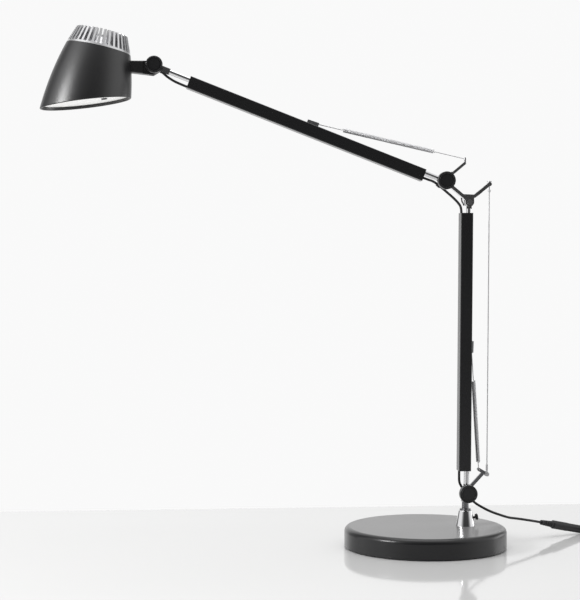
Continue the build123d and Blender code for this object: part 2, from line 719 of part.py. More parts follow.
def tie_wire():
    wire = Cylinder(TIE_WIRE_R, LOWER_LENGTH, align=UPWARDS)
    ferrule = Pos(0, 0, FERRULE_START) * Cylinder(FERRULE_R, FERRULE_END - FERRULE_START, align=UPWARDS)
    neck = Cylinder(TIE_EYE_NECK_R, FERRULE_START, align=UPWARDS)
    foot_eye = rod_y(TIE_EYE_R, -TIE_EYE_T / 2, TIE_EYE_T / 2)
    top_eye = rod_y(TIE_TOP_EYE_R, -TIE_TOP_EYE_T / 2, TIE_TOP_EYE_T / 2, 0, LOWER_LENGTH)
    ball = Pos(0, 0, LOWER_LENGTH - TIE_BALL_DROP) * Sphere(TIE_BALL_R)
    stalk = Pos(0, 0, LOWER_LENGTH) * Cylinder(TIE_WIRE_R, TIE_CAP_RISE, align=UPWARDS)
    cap = Pos(0, 0, LOWER_LENGTH + TIE_CAP_RISE) * Cylinder(TIE_CAP_R, TIE_CAP_T, align=DOWNWARDS)
    cap = fillet(cap.edges().group_by(Axis.Z)[-1], TIE_CAP_EDGE_R)
    body = wire + ferrule + neck + foot_eye + top_eye + ball + stalk + cap
    body -= rod_y(TIE_PIN_R + BOLT_FIT, -TIE_EYE_T, TIE_EYE_T)
    body -= rod_y(TIE_TOP_PIN_R + BOLT_FIT, -TIE_EYE_T, TIE_EYE_T, 0, LOWER_LENGTH)
    return frame_at(tie_foot, LOWER_LEAN) * body


# ---------------------------------------------------------------- elbow bracket


def bent_bar(points, width):
    """Bars from point to point with round outer corners."""
    shape = bar(points[0], points[1], width)
    for before, corner, after in zip(points, points[1:], points[2:]):
        shape += Pos(*corner) * Circle(width / 2) + bar(corner, after, width)
    return shape


def elbow_bracket():
    """The open three-armed casting: clevis at its foot, hub, tie arm and spring lever."""
    spine = [BRACKET_ARM_END, BRACKET_LEFT_BEND, BRACKET_RIGHT_BEND, BRACKET_TIE_ROOT]
    middle = bent_bar(spine, BRACKET_W) + Polygon(*CLEVIS_GUSSET, align=None)
    tie_arm = bar(BRACKET_RIGHT_BEND, TIE_REACH, BRACKET_W) + Pos(*TIE_REACH) * Circle(TIE_LUG_R)
    clevis_r = CLEVIS_EYE_R + CLEVIS_MARGIN
    clevis = Circle(clevis_r) + bar((0, 0), (0, BRACKET_LEFT_BEND[1]), 2 * clevis_r)
    post_top = (UPPER_SPRING_REACH[0], UPPER_SPRING_REACH[1] + SPRING_POST_OVER)
    post_low = (post_top[0], post_top[1] - SPRING_POST_H)
    body = plate(clevis, -cheek_out, cheek_out)
    body += plate(middle, -BRACKET_HALF_T, BRACKET_HALF_T)
    body += plate(tie_arm, -TIE_ARM_HALF_T, TIE_ARM_HALF_T)
    body += rod_y(ELBOW_EYE_R + HUB_MARGIN, -cheek_out, cheek_out, *ELBOW_REACH)
    body += plate(bar(SPRING_LEVER_FOOT, SPRING_LEVER_ROOT, BRACKET_W), -BRACKET_HALF_T, BRACKET_HALF_T)
    body += plate(bar(SPRING_LEVER_FOOT, post_low, SPRING_LEVER_W), -SPRING_LEVER_HALF_T, SPRING_LEVER_HALF_T)
    body -= rod_y(CLEVIS_EYE_R + HUB_GAP, -slot_half, slot_half)
    body -= rod_y(ELBOW_EYE_R + HUB_GAP, -slot_half, slot_half, *ELBOW_REACH)
    tie_slot = Pos(*TIE_REACH) * Circle(TIE_LUG_R + TIE_SLOT_MARGIN)
    tie_slot += bar(TIE_SLOT_FOOT, TIE_REACH, BRACKET_W + 2 * TIE_SLOT_MARGIN)
    body -= plate(tie_slot, -TIE_TOP_EYE_T / 2 - SEAT_GAP, TIE_TOP_EYE_T / 2 + SEAT_GAP)
    body -= rod_y(CLEVIS_PIN_R, -FAR, FAR)
    body -= rod_y(BOLT_R + BOLT_FIT, -FAR, FAR, *ELBOW_REACH)
    body -= rod_y(TIE_TOP_PIN_R, -FAR, FAR, *TIE_REACH)
    body += Pos(post_top[0], 0, post_top[1]) * Cylinder(SPRING_POST_R, SPRING_POST_H, align=DOWNWARDS)
    body += plate(bent_bar(FINGER_BENDS, FINGER_W), -FINGER_HALF_T, FINGER_HALF_T)
    return frame_at(clevis_pivot) * body


def clevis_pin():
    shank = rod_y(CLEVIS_PIN_R, -cheek_out, cheek_out)
    ends = rod_y(CLEVIS_HEAD_R, cheek_out, cheek_out + CLEVIS_HEAD_T) + rod_y(
        CLEVIS_HEAD_R, -cheek_out - CLEVIS_HEAD_T, -cheek_out)
    return frame_at(clevis_pivot) * (shank + ends)


def tie_head_pin():
    reach = TIE_ARM_HALF_T + TIE_PIN_OUT
    return frame_at(tie_head) * rod_y(TIE_TOP_PIN_R, -reach, reach)


def cable_saddle():
    """A block on the hub's rear face that the lamp cable is threaded through."""
    half = cable_bore_r + SADDLE_WALL
    depth = saddle_y + half - cheek_out
    block = Box(2 * half, depth, SADDLE_L, align=(Align.CENTER, Align.MIN, Align.CENTER))
    block = fillet(block.edges().filter_by(Axis.Z).group_by(Axis.Y)[-1], SADDLE_EDGE_R)
    bore = Pos(0, saddle_y - cheek_out, 0) * Cylinder(cable_bore_r, 2 * SADDLE_L)
    place = frame_at(offset_from(elbow_pivot, SADDLE_REACH), SADDLE_TURN)
    return place * Pos(0, cheek_out, 0) * (block - bore)


# ---------------------------------------------------------------- knobs


def knob(pivot, radius, rear):
    """A round knob on the front of a joint. rear is the Y of the face that it tightens on."""
    back = rear - KNOB_GAP
    disc_back = back - KNOB_BOSS_T
    front = disc_back - KNOB_T
    disc = rod_y(radius, front, disc_back)
    disc = fillet(disc.edges().group_by(Axis.Y)[0] + disc.edges().group_by(Axis.Y)[-1], KNOB_EDGE_R)
    ring_r = KNOB_GROOVE_R * radius / KNOB_R
    groove = rod_y(ring_r + KNOB_GROOVE_W / 2, front - 1, front + KNOB_GROOVE_DEPTH) - rod_y(
        ring_r - KNOB_GROOVE_W / 2, front - 2, front + KNOB_GROOVE_DEPTH + 1)
    boss = rod_y(KNOB_BOSS_R, disc_back, back)
    bore = rod_y(BOLT_R + BOLT_FIT, back - KNOB_BORE_DEPTH, back)
    return frame_at(pivot) * (disc + boss - groove - bore)


# ---------------------------------------------------------------- head


def shade_frame():
    """Origin at the middle of the shade's top edge, local Z up along the shade's axis."""
    return frame_at(shade_origin, SHADE_TILT)


def shade_solid(inset):
    """The shade's round body, shrunk by inset, before its mouth is cut."""
    middle = SHADE_DEPTH / 2
    below = SHADE_DEPTH * 1.2
    lower_r = SHADE_MOUTH_R - inset
    with BuildPart() as body:
        with BuildSketch(Plane.XZ):
            with BuildLine():
                Line((0, -inset), (SHADE_TOP_R - inset, -inset))
                ThreePointArc((SHADE_TOP_R - inset, -inset), (SHADE_MID_R - inset, -middle),
                              (lower_r, -SHADE_DEPTH))
                Line((lower_r, -SHADE_DEPTH), (lower_r, -below))
                Line((lower_r, -below), (0, -below))
                Line((0, -below), (0, -inset))
            make_face()
        revolve(axis=Axis.Z)
    return body.part


def mouth_frame(above):
    """The mouth's plane, moved above it along its own upward normal."""
    along = (SHADE_SHORT_R - SHADE_MOUTH_R) / 2
    depth = (SHADE_DEPTH + SHADE_SHORT_DEPTH) / 2
    return Pos(along, 0, -depth) * Rot(0, -MOUTH_TILT, 0) * Pos(0, 0, above)


def above_mouth(above):
    return mouth_frame(above) * Box(FAR, FAR, FAR, align=UPWARDS)


def mouth_slab(above, thickness):
    return mouth_frame(above) * Box(FAR, FAR, thickness, align=UPWARDS)


def cable_hole():
    """The wire's way from the neck into the shade."""
    place = Pos(-NECK_ROOT, 0, -CABLE_HOLE_DROP) * Rot(0, 90, 0)
    return frame_at(head_pivot) * place * Cylinder(CABLE_R + CABLE_HOLE_GAP, CABLE_HOLE_L)


def shade():
    shell = shade_solid(0) - shade_solid(SHADE_WALL)
    shell &= above_mouth(0)
    ledge_z = LIP_RECESS + DIFFUSER_T + SEAT_GAP
    ledge = shade_solid(SHADE_WALL / 2) - shade_solid(SHADE_WALL + DIFFUSER_LEDGE)
    ledge &= mouth_slab(ledge_z, DIFFUSER_LEDGE_T)
    opening = Cylinder(SINK_BOSS_R + SEAT_GAP, 4 * SHADE_WALL)
    return shade_frame() * (shell + ledge - opening) - cable_hole()


def heat_sink():
    slope = (SHADE_TOP_R - SINK_TOP_R) / SINK_H
    ring_top_r = SHADE_TOP_R - slope * SINK_RING_T
    ring = Cone(SHADE_TOP_R, ring_top_r, SINK_RING_T, align=UPWARDS)
    core = Pos(0, 0, SINK_RING_T) * Cone(SINK_CORE_R, SINK_CORE_TOP_R, SINK_CORE_H, align=UPWARDS)
    dish_top = SINK_RING_T + SINK_CORE_H
    dish = Pos(0, 0, dish_top) * Cylinder(
        SINK_CORE_TOP_R - SINK_DISH_RIM, SINK_CORE_DISH, align=DOWNWARDS)
    boss = Cylinder(SINK_BOSS_R, SINK_BOSS_T, align=DOWNWARDS)
    outline = Polygon(
        (FIN_FOOT_IN_R, SINK_RING_T - SINK_FIN_ROOT), (ring_top_r, SINK_RING_T - SINK_FIN_ROOT),
        (ring_top_r, SINK_RING_T), (SINK_TOP_R, SINK_H), (FIN_TOP_IN_R, SINK_H), align=None)
    fin = plate(outline, -FIN_T / 2, FIN_T / 2)
    fins = [Rot(0, 0, 360 * index / FIN_COUNT) * fin for index in range(FIN_COUNT)]
    return shade_frame() * (ring + core + boss + fins - dish)


def led_board():
    top = -SINK_BOSS_T
    board = Pos(0, 0, top) * Cylinder(BOARD_R, BOARD_T, align=DOWNWARDS)
    chips = [Rot(0, 0, 360 * index / LED_COUNT) * Pos(LED_RING_R, 0, top - BOARD_T)
             * Box(LED_SIZE, LED_SIZE, LED_T, align=DOWNWARDS)
             for index in range(LED_COUNT)]
    return shade_frame() * (board + chips)


def reflector():
    """A white cone from the LED board down to just above the diffuser."""
    top = -SINK_BOSS_T - SEAT_GAP
    with BuildPart() as body:
        with BuildSketch(Plane.XZ):
            Polygon((REFLECTOR_TOP_R, top), (REFLECTOR_TOP_R + REFLECTOR_T, top),
                    (REFLECTOR_BOTTOM_R + REFLECTOR_T, -SHADE_DEPTH), (REFLECTOR_BOTTOM_R, -SHADE_DEPTH),
                    align=None)
        revolve(axis=Axis.Z)
    keep = above_mouth(LIP_RECESS + DIFFUSER_T + SEAT_GAP + DIFFUSER_LEDGE_T + SEAT_GAP)
    return shade_frame() * (body.part & keep) - switch_room()


def switch_frame(above=0.0):
    """The switch's place on the diffuser's outer face, local Z up along the mouth's normal."""
    return shade_frame() * mouth_frame(LIP_RECESS) * Pos(SWITCH_ALONG, 0, above)


def switch_room():
    return switch_frame(DIFFUSER_T) * Cylinder(
        SWITCH_BODY_R + SWITCH_ROOM, SWITCH_BODY_T + SWITCH_ROOM, align=UPWARDS)


def diffuser():
    plate_solid = shade_solid(SHADE_WALL + SEAT_GAP) & mouth_slab(LIP_RECESS, DIFFUSER_T)
    hole = Cylinder(SWITCH_R + SEAT_GAP, 4 * DIFFUSER_T)
    return shade_frame() * plate_solid - switch_frame() * hole


def switch_body():
    body = Cylinder(SWITCH_BODY_R, SWITCH_BODY_T, align=UPWARDS)
    room_h = SWITCH_STEM_IN + SWITCH_TRAVEL_ROOM
    room = Cylinder(SWITCH_R + SEAT_GAP, room_h, align=UPWARDS)
    return switch_frame(DIFFUSER_T) * (body - room)


def switch_button():
    button = Cylinder(SWITCH_R, SWITCH_OUT + DIFFUSER_T + SWITCH_STEM_IN, align=UPWARDS)
    button = fillet(button.edges().group_by(Axis.Z)[0], SWITCH_EDGE_R)
    return switch_frame(-SWITCH_OUT) * button


def neck():
    """The fork that carries the shade, from the head pivot to the shade's wall."""
    outline = Polygon((-NECK_ROOT, NECK_TOP), *NECK_NOSE, (-NECK_ROOT, NECK_ROOT_Z), align=None)
    outline = fillet(outline.vertices().sort_by(Axis.X)[2:], NECK_FILLET)
    body = plate(outline, -NECK_HALF_T, NECK_HALF_T)
    long_edges = [edge for edge in body.edges().filter_by(GeomType.LINE)
                  if abs(edge.center().Y) > NECK_HALF_T / 2 and edge.center().X < 0]
    long_edges = [edge for edge in long_edges if abs(edge.center().Z) > NECK_HALF_T / 2]
    body = fillet(long_edges, NECK_EDGE_R) - rod_y(BOLT_R + BOLT_FIT, -FAR, FAR)
    room = HEAD_EYE_R + HUB_GAP
    outer = (Align.MIN, Align.CENTER, Align.CENTER)
    slot = Pos(-room, 0, 0) * Box(FAR, 2 * slot_half, FAR, align=outer)
    trim_w = 2 * (NECK_HALF_T - cheek_out)
    trim = Pos(-room - NECK_STEP, -NECK_HALF_T, 0) * Box(FAR, trim_w, FAR, align=outer)
    gland = gland_frame(local=True) * Cylinder(GLAND_R, 2 * GLAND_IN)
    placed = frame_at(head_pivot) * (body - slot - trim - gland)
    return placed - shade_frame() * shade_solid(0) - cable_hole()


def gland_frame(local=False):
    """The cable gland in the neck's rear cheek, local Z pointing out along the cable."""
    place = Pos(GLAND_REACH[0], GLAND_Y, GLAND_REACH[1]) * Rot(0, GLAND_TURN, 0)
    return place if local else frame_at(head_pivot) * place


def cable_gland():
    body = Pos(0, 0, -GLAND_IN) * Cylinder(GLAND_R, GLAND_IN + GLAND_OUT, align=UPWARDS)
    bore = Pos(0, 0, 1 - GLAND_IN) * Cylinder(CABLE_R + CORD_END_GAP, 2 * GLAND_IN, align=UPWARDS)
    return gland_frame() * (body - bore)


# ---------------------------------------------------------------- cable routes


def cable_end(frame, s, x=CABLE_X):
    point = world(frame, x, CABLE_Y, s)
    return (point.X, point.Y, point.Z)


def post_point(along):
    """A point on the bore of the cable post, along it upwards from its middle."""
    turn = radians(POST_TURN)
    return (BASE_PIVOT[0] - along * sin(turn), POST_CABLE_Y, BASE_PIVOT[1] + along * cos(turn))


def route_base_loop():
    foot = lower_frame()
    start = SLEEVE_START - CABLE_OUT
    return [cable_end(foot, start), cable_end(foot, start - BASE_LOOP_RUNS[0]),
            BASE_LOOP, post_point(BASE_LOOP_RUNS[1]), post_point(0)]


def saddle_point(along):
    place = frame_at(offset_from(elbow_pivot, SADDLE_REACH), SADDLE_TURN) * Pos(0, saddle_y, along)
    return (place.position.X, place.position.Y, place.position.Z)


def route_elbow_lower():
    top = LOWER_LENGTH - LOWER_SLEEVE_END_GAP + CABLE_OUT
    bends = [(clevis_pivot[0] + x, y, clevis_pivot[1] + z) for x, y, z in ELBOW_LOOP_REACHES]
    return [cable_end(lower_frame(), top), cable_end(lower_frame(), top + ELBOW_LOWER_RUNS[0]),
            *bends, saddle_point(-ELBOW_LOWER_RUNS[1]), saddle_point(0)]


def route_elbow_upper():
    foot = upper_frame()
    start = SLEEVE_START - CABLE_OUT
    return [saddle_point(0), saddle_point(ELBOW_UPPER_RUNS[0]),
            cable_end(foot, start - ELBOW_UPPER_RUNS[1], UPPER_FOOT_CABLE_X),
            cable_end(foot, start, UPPER_FOOT_CABLE_X)]


def gland_point(out):
    place = gland_frame() * Pos(0, 0, out)
    return (place.position.X, place.position.Y, place.position.Z)


def route_head_loop():
    top = UPPER_LENGTH - UPPER_SLEEVE_END_GAP + CABLE_OUT
    sag = (head_pivot[0] + HEAD_LOOP_REACH[0], HEAD_LOOP_REACH[1], head_pivot[1] + HEAD_LOOP_REACH[2])
    return [cable_end(upper_frame(), top), cable_end(upper_frame(), top + HEAD_LOOP_RUNS[0]),
            sag, gland_point(HEAD_LOOP_RUNS[1]), gland_point(-HEAD_LOOP_IN)]


def plug_frame(along=0.0):
    way = Vector(*PLUG_AXIS).normalized()
    return Plane(origin=Vector(*PLUG_START) + way * along, z_dir=way).location


def plug_point(along):
    point = plug_frame(along).position
    return (point.X, point.Y, point.Z)


def route_lead_swivel():
    return [post_point(0), post_point(-LEAD_POST_RUN)] + LEAD_DROP + [LEAD_SPLIT]


def route_lead():
    way = (Vector(*LEAD_SPLIT) - Vector(*LEAD_DROP[-1])).normalized()
    on = Vector(*LEAD_SPLIT) + way * LEAD_SPLIT_RUN
    return [LEAD_SPLIT, (on.X, on.Y, on.Z)] + LEAD_ON + [plug_point(-PLUG_RUN), plug_point(0)]


def route_adapter_lead():
    out = BOOT_L + PLUG_BODY_L + JACK_BODY_L + JACK_TAIL_L
    landing = [(COIL_CENTRE_X + x, COIL_START_Y + y, coil_floor) for x, y in COIL_LANDING]
    return [plug_point(out), plug_point(out + JACK_RUN)] + landing


def coil_edges():
    """Half turns that spiral in and out, layer on layer, climbing where they reverse."""
    place = Vector(COIL_CENTRE_X, COIL_START_Y, coil_floor)
    way = Vector(1, 0, 0)
    inward = Vector(0, -1, 0)
    edges = []
    radius = COIL_OUTER_R
    change = -COIL_PITCH / 2
    for layer in range(COIL_LAYERS):
        for half in range(COIL_HALF_TURNS):
            climbs = half == COIL_HALF_TURNS - 1 and layer < COIL_LAYERS - 1
            rise = asin(COIL_PITCH / (2 * radius)) if climbs else 0.0
            to_centre = inward * cos(rise) + Vector(0, 0, 1) * sin(rise)
            end = place + to_centre * (2 * radius)
            edges.append(Edge.make_tangent_arc(place, way, end))
            place = end
            way = way * -1
            inward = inward * -1
            if climbs:
                change = -change
            radius += change
    edges.append(Edge.make_line(place, place + way * COIL_TAIL))
    return edges


def adapter_coil():
    edges = coil_edges()
    solid = swept(edges, CABLE_R)
    length = sum(edge.length for edge in edges)
    report_tube("adapter_coil", solid, length, CABLE_R, [])
    apart = pi * (COIL_OUTER_R - COIL_PITCH * COIL_HALF_TURNS / 2)
    print("adapter_coil least self-gap", round(least_self_gap(edges, CABLE_R, apart, 6), 2))
    return solid


# ---------------------------------------------------------------- plug, jack, adapter


def turned(profile):
    """A solid turned round the local Z axis from (radius, z) corners."""
    with BuildPart() as body:
        with BuildSketch(Plane.XZ):
            Polygon(*profile, align=None)
        revolve(axis=Axis.Z)
    return body.part


def dc_plug():
    boot = turned([(0, 0), (BOOT_START_R, 0), (BOOT_END_R, BOOT_L), (0, BOOT_L)])
    ring = Cylinder(2 * BOOT_END_R, BOOT_RIB_PITCH / 3)
    ring -= Cylinder(BOOT_START_R - BOOT_RIB_DEPTH, BOOT_RIB_PITCH)
    grooves = [Pos(0, 0, BOOT_RIB_PITCH * (index + 1.33)) * ring for index in range(BOOT_RIBS)]
    body = Pos(0, 0, BOOT_L) * Cylinder(PLUG_BODY_R, PLUG_BODY_L, align=UPWARDS)
    body = chamfer(body.edges().group_by(Axis.Z)[0], PLUG_EDGE)
    return plug_frame() * (boot - grooves + body)


def dc_jack():
    start = BOOT_L + PLUG_BODY_L
    body = Pos(0, 0, start) * Cylinder(JACK_BODY_R, JACK_BODY_L, align=UPWARDS)
    body = fillet(body.edges().group_by(Axis.Z)[-1], JACK_EDGE_R)
    tail = Cone(JACK_TAIL_START_R, JACK_TAIL_R, JACK_TAIL_L, align=UPWARDS)
    tail = Pos(0, 0, start + JACK_BODY_L) * tail
    return plug_frame() * (body + tail)


def coil_tie():
    """A strap round the coil's ring section, on its -Y side."""
    ends = [edge @ 1 for edge in coil_edges()]
    near = [end.Y for end in ends if end.Y < COIL_START_Y - COIL_OUTER_R]
    inner_w = max(near) - min(near) + 2 * (CABLE_R + TIE_BAND_GAP)
    top = coil_floor + COIL_PITCH * (COIL_LAYERS - 1) + CABLE_R
    inner_h = top - TIE_BAND_T + TIE_BAND_GAP
    outer = RectangleRounded(inner_w + 2 * TIE_BAND_T, inner_h + 2 * TIE_BAND_T, TIE_BAND_T + TIE_BAND_EDGE_R)
    ring = outer - RectangleRounded(inner_w, inner_h, TIE_BAND_EDGE_R)
    band = extrude(Plane.YZ * ring, TIE_BAND_W / 2, both=True)
    return Pos(COIL_CENTRE_X, (max(near) + min(near)) / 2, inner_h / 2 + TIE_BAND_T) * band


def adapter_frame():
    """The middle of the adapter's boot face, where the cord ends, local Z along the cord's way."""
    last = coil_edges()[-1]
    return Pos(last @ 1) * Rot(0, 90, 0)


def adapter_body():
    """The housing stands on the table, so its middle is off the cord's height."""
    housing = Box(ADAPTER_H, ADAPTER_W, ADAPTER_L, align=UPWARDS)
    housing = fillet(housing.edges(), ADAPTER_EDGE_R)
    boot = Cylinder(ADAPTER_BOOT_R, ADAPTER_BOOT_L + ADAPTER_EDGE_R, align=UPWARDS)
    place = adapter_frame()
    drop = place.position.Z - ADAPTER_H / 2
    return place * (Pos(drop, 0, ADAPTER_BOOT_L) * housing + boot)


def adapter_pins():
    place = adapter_frame()
    drop = place.position.Z - ADAPTER_H / 2
    pin = Cylinder(PIN_R, PIN_L, align=UPWARDS)
    pin = fillet(pin.edges().group_by(Axis.Z)[-1], PIN_TIP_R)
    face = ADAPTER_BOOT_L + ADAPTER_L
    pins = [place * Pos(drop, side * PIN_SPACING / 2, face) * pin for side in (-1, 1)]
    return Compound(children=pins)


# ---------------------------------------------------------------- springs


def lower_spring():
    foot = Vector(spring_foot[0], LOWER_SPRING_Y, spring_foot[1] + SPRING_PIN_R + SPRING_EYE_GAP)
    start = LOWER_ANCHOR_S - SPRING_EYE_GAP
    top = world(lower_frame(), sleeve_top_x + LOWER_ANCHOR_RISE, LOWER_ANCHOR_Y, start)
    span = (foot - top).length
    return spring("spring_lower", top, foot, LOWER_COIL_START, span - LOWER_COIL_END, LOWER_CURLS)


def upper_spring():
    post = Vector(spring_head[0] - SPRING_POST_R - SPRING_EYE_GAP, 0, spring_head[1])
    start = UPPER_ANCHOR_S - SPRING_EYE_GAP
    top = world(upper_frame(), sleeve_top_x + UPPER_ANCHOR_RISE, 0, start)
    span = (post - top).length
    return spring("spring_upper", top, post, UPPER_COIL_START, span - UPPER_COIL_END, UPPER_CURLS)


# ---------------------------------------------------------------- everything


def arm_parts(name, frame, length, end_gap, foot_x, rod_solid, anchor):
    end = length - end_gap
    save(frame * rod_solid, f"{name}_rod")
    save(frame * sleeve(SLEEVE_START, end), f"{name}_sleeve")
    save(frame * sleeve_plug(SLEEVE_START + PLUG_INSET, foot_x), f"{name}_plug_foot")
    save(frame * sleeve_plug(end - PLUG_INSET - PLUG_T, CABLE_X), f"{name}_plug_head")
    save(frame * sleeve_cable(SLEEVE_START, end, foot_x), f"cable_{name}")
    save(frame * anchor, f"{name}_spring_anchor")


def main():
    os.makedirs("parts", exist_ok=True)
    save(base_pad(), "base_pad")
    save(base_weight(), "base_weight")
    save(base_cover(), "base_cover")
    save(pedestal(), "pedestal")
    save(pedestal_nut(), "pedestal_nut")
    save(swivel_bush(), "swivel_bush")
    save(thumbscrew(), "thumbscrew")
    save(stem(), "stem")
    save(stem_retainer(), "stem_retainer")
    save(tie_foot_pin(), "tie_foot_pin")
    save(spring_foot_pin(), "spring_foot_pin")
    bolt_front = -cheek_out - BOLT_OUT
    save(frame_at(BASE_PIVOT) * bolt(bolt_front, cheek_out + POST_SOCKET, False), "base_bolt")
    save(cable_post(), "cable_post")

    lower_rod = rod(LOWER_LENGTH, BASE_EYE_R, CLEVIS_EYE_R, BASE_EYE_R + EYE_NECK_GAP,
                    CLEVIS_EYE_R + EYE_NECK_GAP, BOLT_R + BOLT_FIT, CLEVIS_PIN_R + BOLT_FIT, 2 * ROD_R)
    arm_parts("lower", lower_frame(), LOWER_LENGTH, LOWER_SLEEVE_END_GAP, CABLE_X, lower_rod,
              spring_anchor(LOWER_ANCHOR_S, LOWER_ANCHOR_Y, LOWER_ANCHOR_RISE))
    save(tie_wire(), "tie_wire")
    save(elbow_bracket(), "elbow_bracket")
    save(clevis_pin(), "clevis_pin")
    save(tie_head_pin(), "tie_head_pin")
    save(cable_saddle(), "cable_saddle")
    save(frame_at(elbow_pivot) * bolt(bolt_front, cheek_out, True), "elbow_bolt")

    upper_rod = rod(UPPER_LENGTH, ELBOW_EYE_R, HEAD_EYE_R, ELBOW_EYE_R + EYE_NECK_GAP, HEAD_TONGUE_LENGTH,
                    BOLT_R + BOLT_FIT, BOLT_R + BOLT_FIT, HEAD_TONGUE_W)
    arm_parts("upper", upper_frame(), UPPER_LENGTH, UPPER_SLEEVE_END_GAP, UPPER_FOOT_CABLE_X, upper_rod,
              spring_anchor(UPPER_ANCHOR_S, 0, UPPER_ANCHOR_RISE))
    save(neck(), "neck")
    save(shade(), "shade")
    save(heat_sink(), "heat_sink")
    save(led_board(), "led_board")
    save(reflector(), "reflector")
    save(diffuser(), "diffuser")
    save(switch_body(), "switch_body")
    save(switch_button(), "switch_button")
    save(cable_gland(), "cable_gland")
    save(frame_at(head_pivot) * bolt(bolt_front, NECK_HALF_T, True), "head_bolt")

    save(knob(BASE_PIVOT, KNOB_R, -cheek_out), "knob_base")
    save(knob(elbow_pivot, KNOB_R, -cheek_out), "knob_elbow")
    save(knob(head_pivot, HEAD_KNOB_R, -cheek_out), "knob_head")

    save(lower_spring(), "spring_lower")
    save(upper_spring(), "spring_upper")

    save(cord("cable_base_loop", route_base_loop()), "cable_base_loop")
    save(cord("cable_elbow_lower", route_elbow_lower()), "cable_elbow_lower")
    save(cord("cable_elbow_upper", route_elbow_upper()), "cable_elbow_upper")
    save(cord("cable_head_loop", route_head_loop()), "cable_head_loop")
    save(cord("lead_swivel", route_lead_swivel()), "lead_swivel")
    save(cord("lead", route_lead()), "lead")
    save(dc_plug(), "dc_plug")
    save(dc_jack(), "dc_jack")
    save(cord("adapter_lead", route_adapter_lead()), "adapter_lead")
    save(adapter_coil(), "adapter_coil")
    save(coil_tie(), "coil_tie")
    save(adapter_body(), "adapter_body")
    save(adapter_pins(), "adapter_pins")


main()
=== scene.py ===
# %% [markdown]
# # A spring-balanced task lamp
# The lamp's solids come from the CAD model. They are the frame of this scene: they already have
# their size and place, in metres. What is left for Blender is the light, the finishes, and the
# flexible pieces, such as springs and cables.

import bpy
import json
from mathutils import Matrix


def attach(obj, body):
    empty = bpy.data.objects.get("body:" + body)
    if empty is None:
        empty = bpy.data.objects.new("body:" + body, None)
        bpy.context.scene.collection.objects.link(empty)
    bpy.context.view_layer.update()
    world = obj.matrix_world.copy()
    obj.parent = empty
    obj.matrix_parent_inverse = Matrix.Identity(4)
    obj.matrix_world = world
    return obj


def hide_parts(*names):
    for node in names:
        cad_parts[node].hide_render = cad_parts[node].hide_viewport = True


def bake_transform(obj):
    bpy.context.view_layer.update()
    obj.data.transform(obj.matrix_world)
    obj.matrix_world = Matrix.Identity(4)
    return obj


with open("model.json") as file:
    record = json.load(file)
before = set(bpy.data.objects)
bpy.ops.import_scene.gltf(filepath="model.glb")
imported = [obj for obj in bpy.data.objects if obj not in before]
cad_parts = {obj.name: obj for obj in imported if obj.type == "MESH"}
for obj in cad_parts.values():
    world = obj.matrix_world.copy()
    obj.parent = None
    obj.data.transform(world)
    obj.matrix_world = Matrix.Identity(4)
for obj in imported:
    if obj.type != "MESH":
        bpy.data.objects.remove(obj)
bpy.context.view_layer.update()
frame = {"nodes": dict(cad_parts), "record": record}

# %% [markdown]
# ## Tools and places
# Two helpers select a piece and put its place into its mesh. The joints' pivots and the shade's
# tilted axis are needed by several steps, so they are named once, in metres.

# %% Tools for the whole lesson
import bpy
import json
import math
from mathutils import Matrix, Vector

scene = bpy.context.scene
bpy.ops.object.select_all(action="DESELECT")

MM = 0.001
BASE_PIVOT = (0.0565, 0.0, 0.0733)
ELBOW_PIVOT = (0.02568, 0.0, 0.49669)
HEAD_PIVOT = (-0.36625, 0.0, 0.64793)
SHADE_TOP = (-0.4394, 0.0, 0.6694)
SHADE_TILT = math.radians(11.97)


def only(piece):
    """Make piece the one selected and active object."""
    bpy.ops.object.select_all(action="DESELECT")
    piece.select_set(True)
    bpy.context.view_layer.objects.active = piece
    return piece


def settle(piece, name):
    """Put the piece's place into its mesh and give it its name."""
    only(piece)
    bpy.ops.object.transform_apply(location=True, rotation=True, scale=True)
    piece.name = name
    return piece


def to_mesh(piece):
    only(piece)
    bpy.ops.object.convert(target="MESH")
    return piece


def beside(pivot, y):
    """The point of a joint's axis that lies y to the side of the lamp's middle plane."""
    return pivot[0], y, pivot[2]


def in_shade(x, y, z):
    """A point given from the shade's top along its tilted axis, in the lamp's frame."""
    turned = Matrix.Rotation(SHADE_TILT, 3, "Y") @ Vector((x, y, z))
    return Vector(SHADE_TOP) + turned


shade_axis = in_shade(0, 0, 1) - Vector(SHADE_TOP)
print("pivots", BASE_PIVOT, ELBOW_PIVOT, HEAD_PIVOT)

# %% [markdown]
# ## Camera
# The lamp was seen from its front, a little from the left and almost level, with a long lens. A
# long lens keeps the arms' proportions true. The camera's three axes are given as a matrix,
# because that says exactly where it looks, without any rounding of angles.

# %% Camera
CAMERA_PLACE = (-0.37014, -2.12099, 0.38153)
FOCAL_LENGTH = 98.26
SENSOR_WIDTH = 36.0
right = Vector((0.9961947, -0.0871557, 0.0))
up = Vector((0.0018715, 0.0213915, 0.9997694))
forward = Vector((0.0871357, 0.995965, -0.0214733))
camera_data = bpy.data.cameras.new("lamp_camera")
camera_data.lens = FOCAL_LENGTH
camera_data.sensor_width = SENSOR_WIDTH
camera_data.sensor_fit = "HORIZONTAL"
camera_data.clip_end = 50.0
camera = bpy.data.objects.new("lamp_camera", camera_data)
scene.collection.objects.link(camera)
turn = Matrix((right, up, -forward)).transposed().to_4x4()
camera.matrix_world = Matrix.Translation(CAMERA_PLACE) @ turn
scene.camera = camera
print("camera at", CAMERA_PLACE)
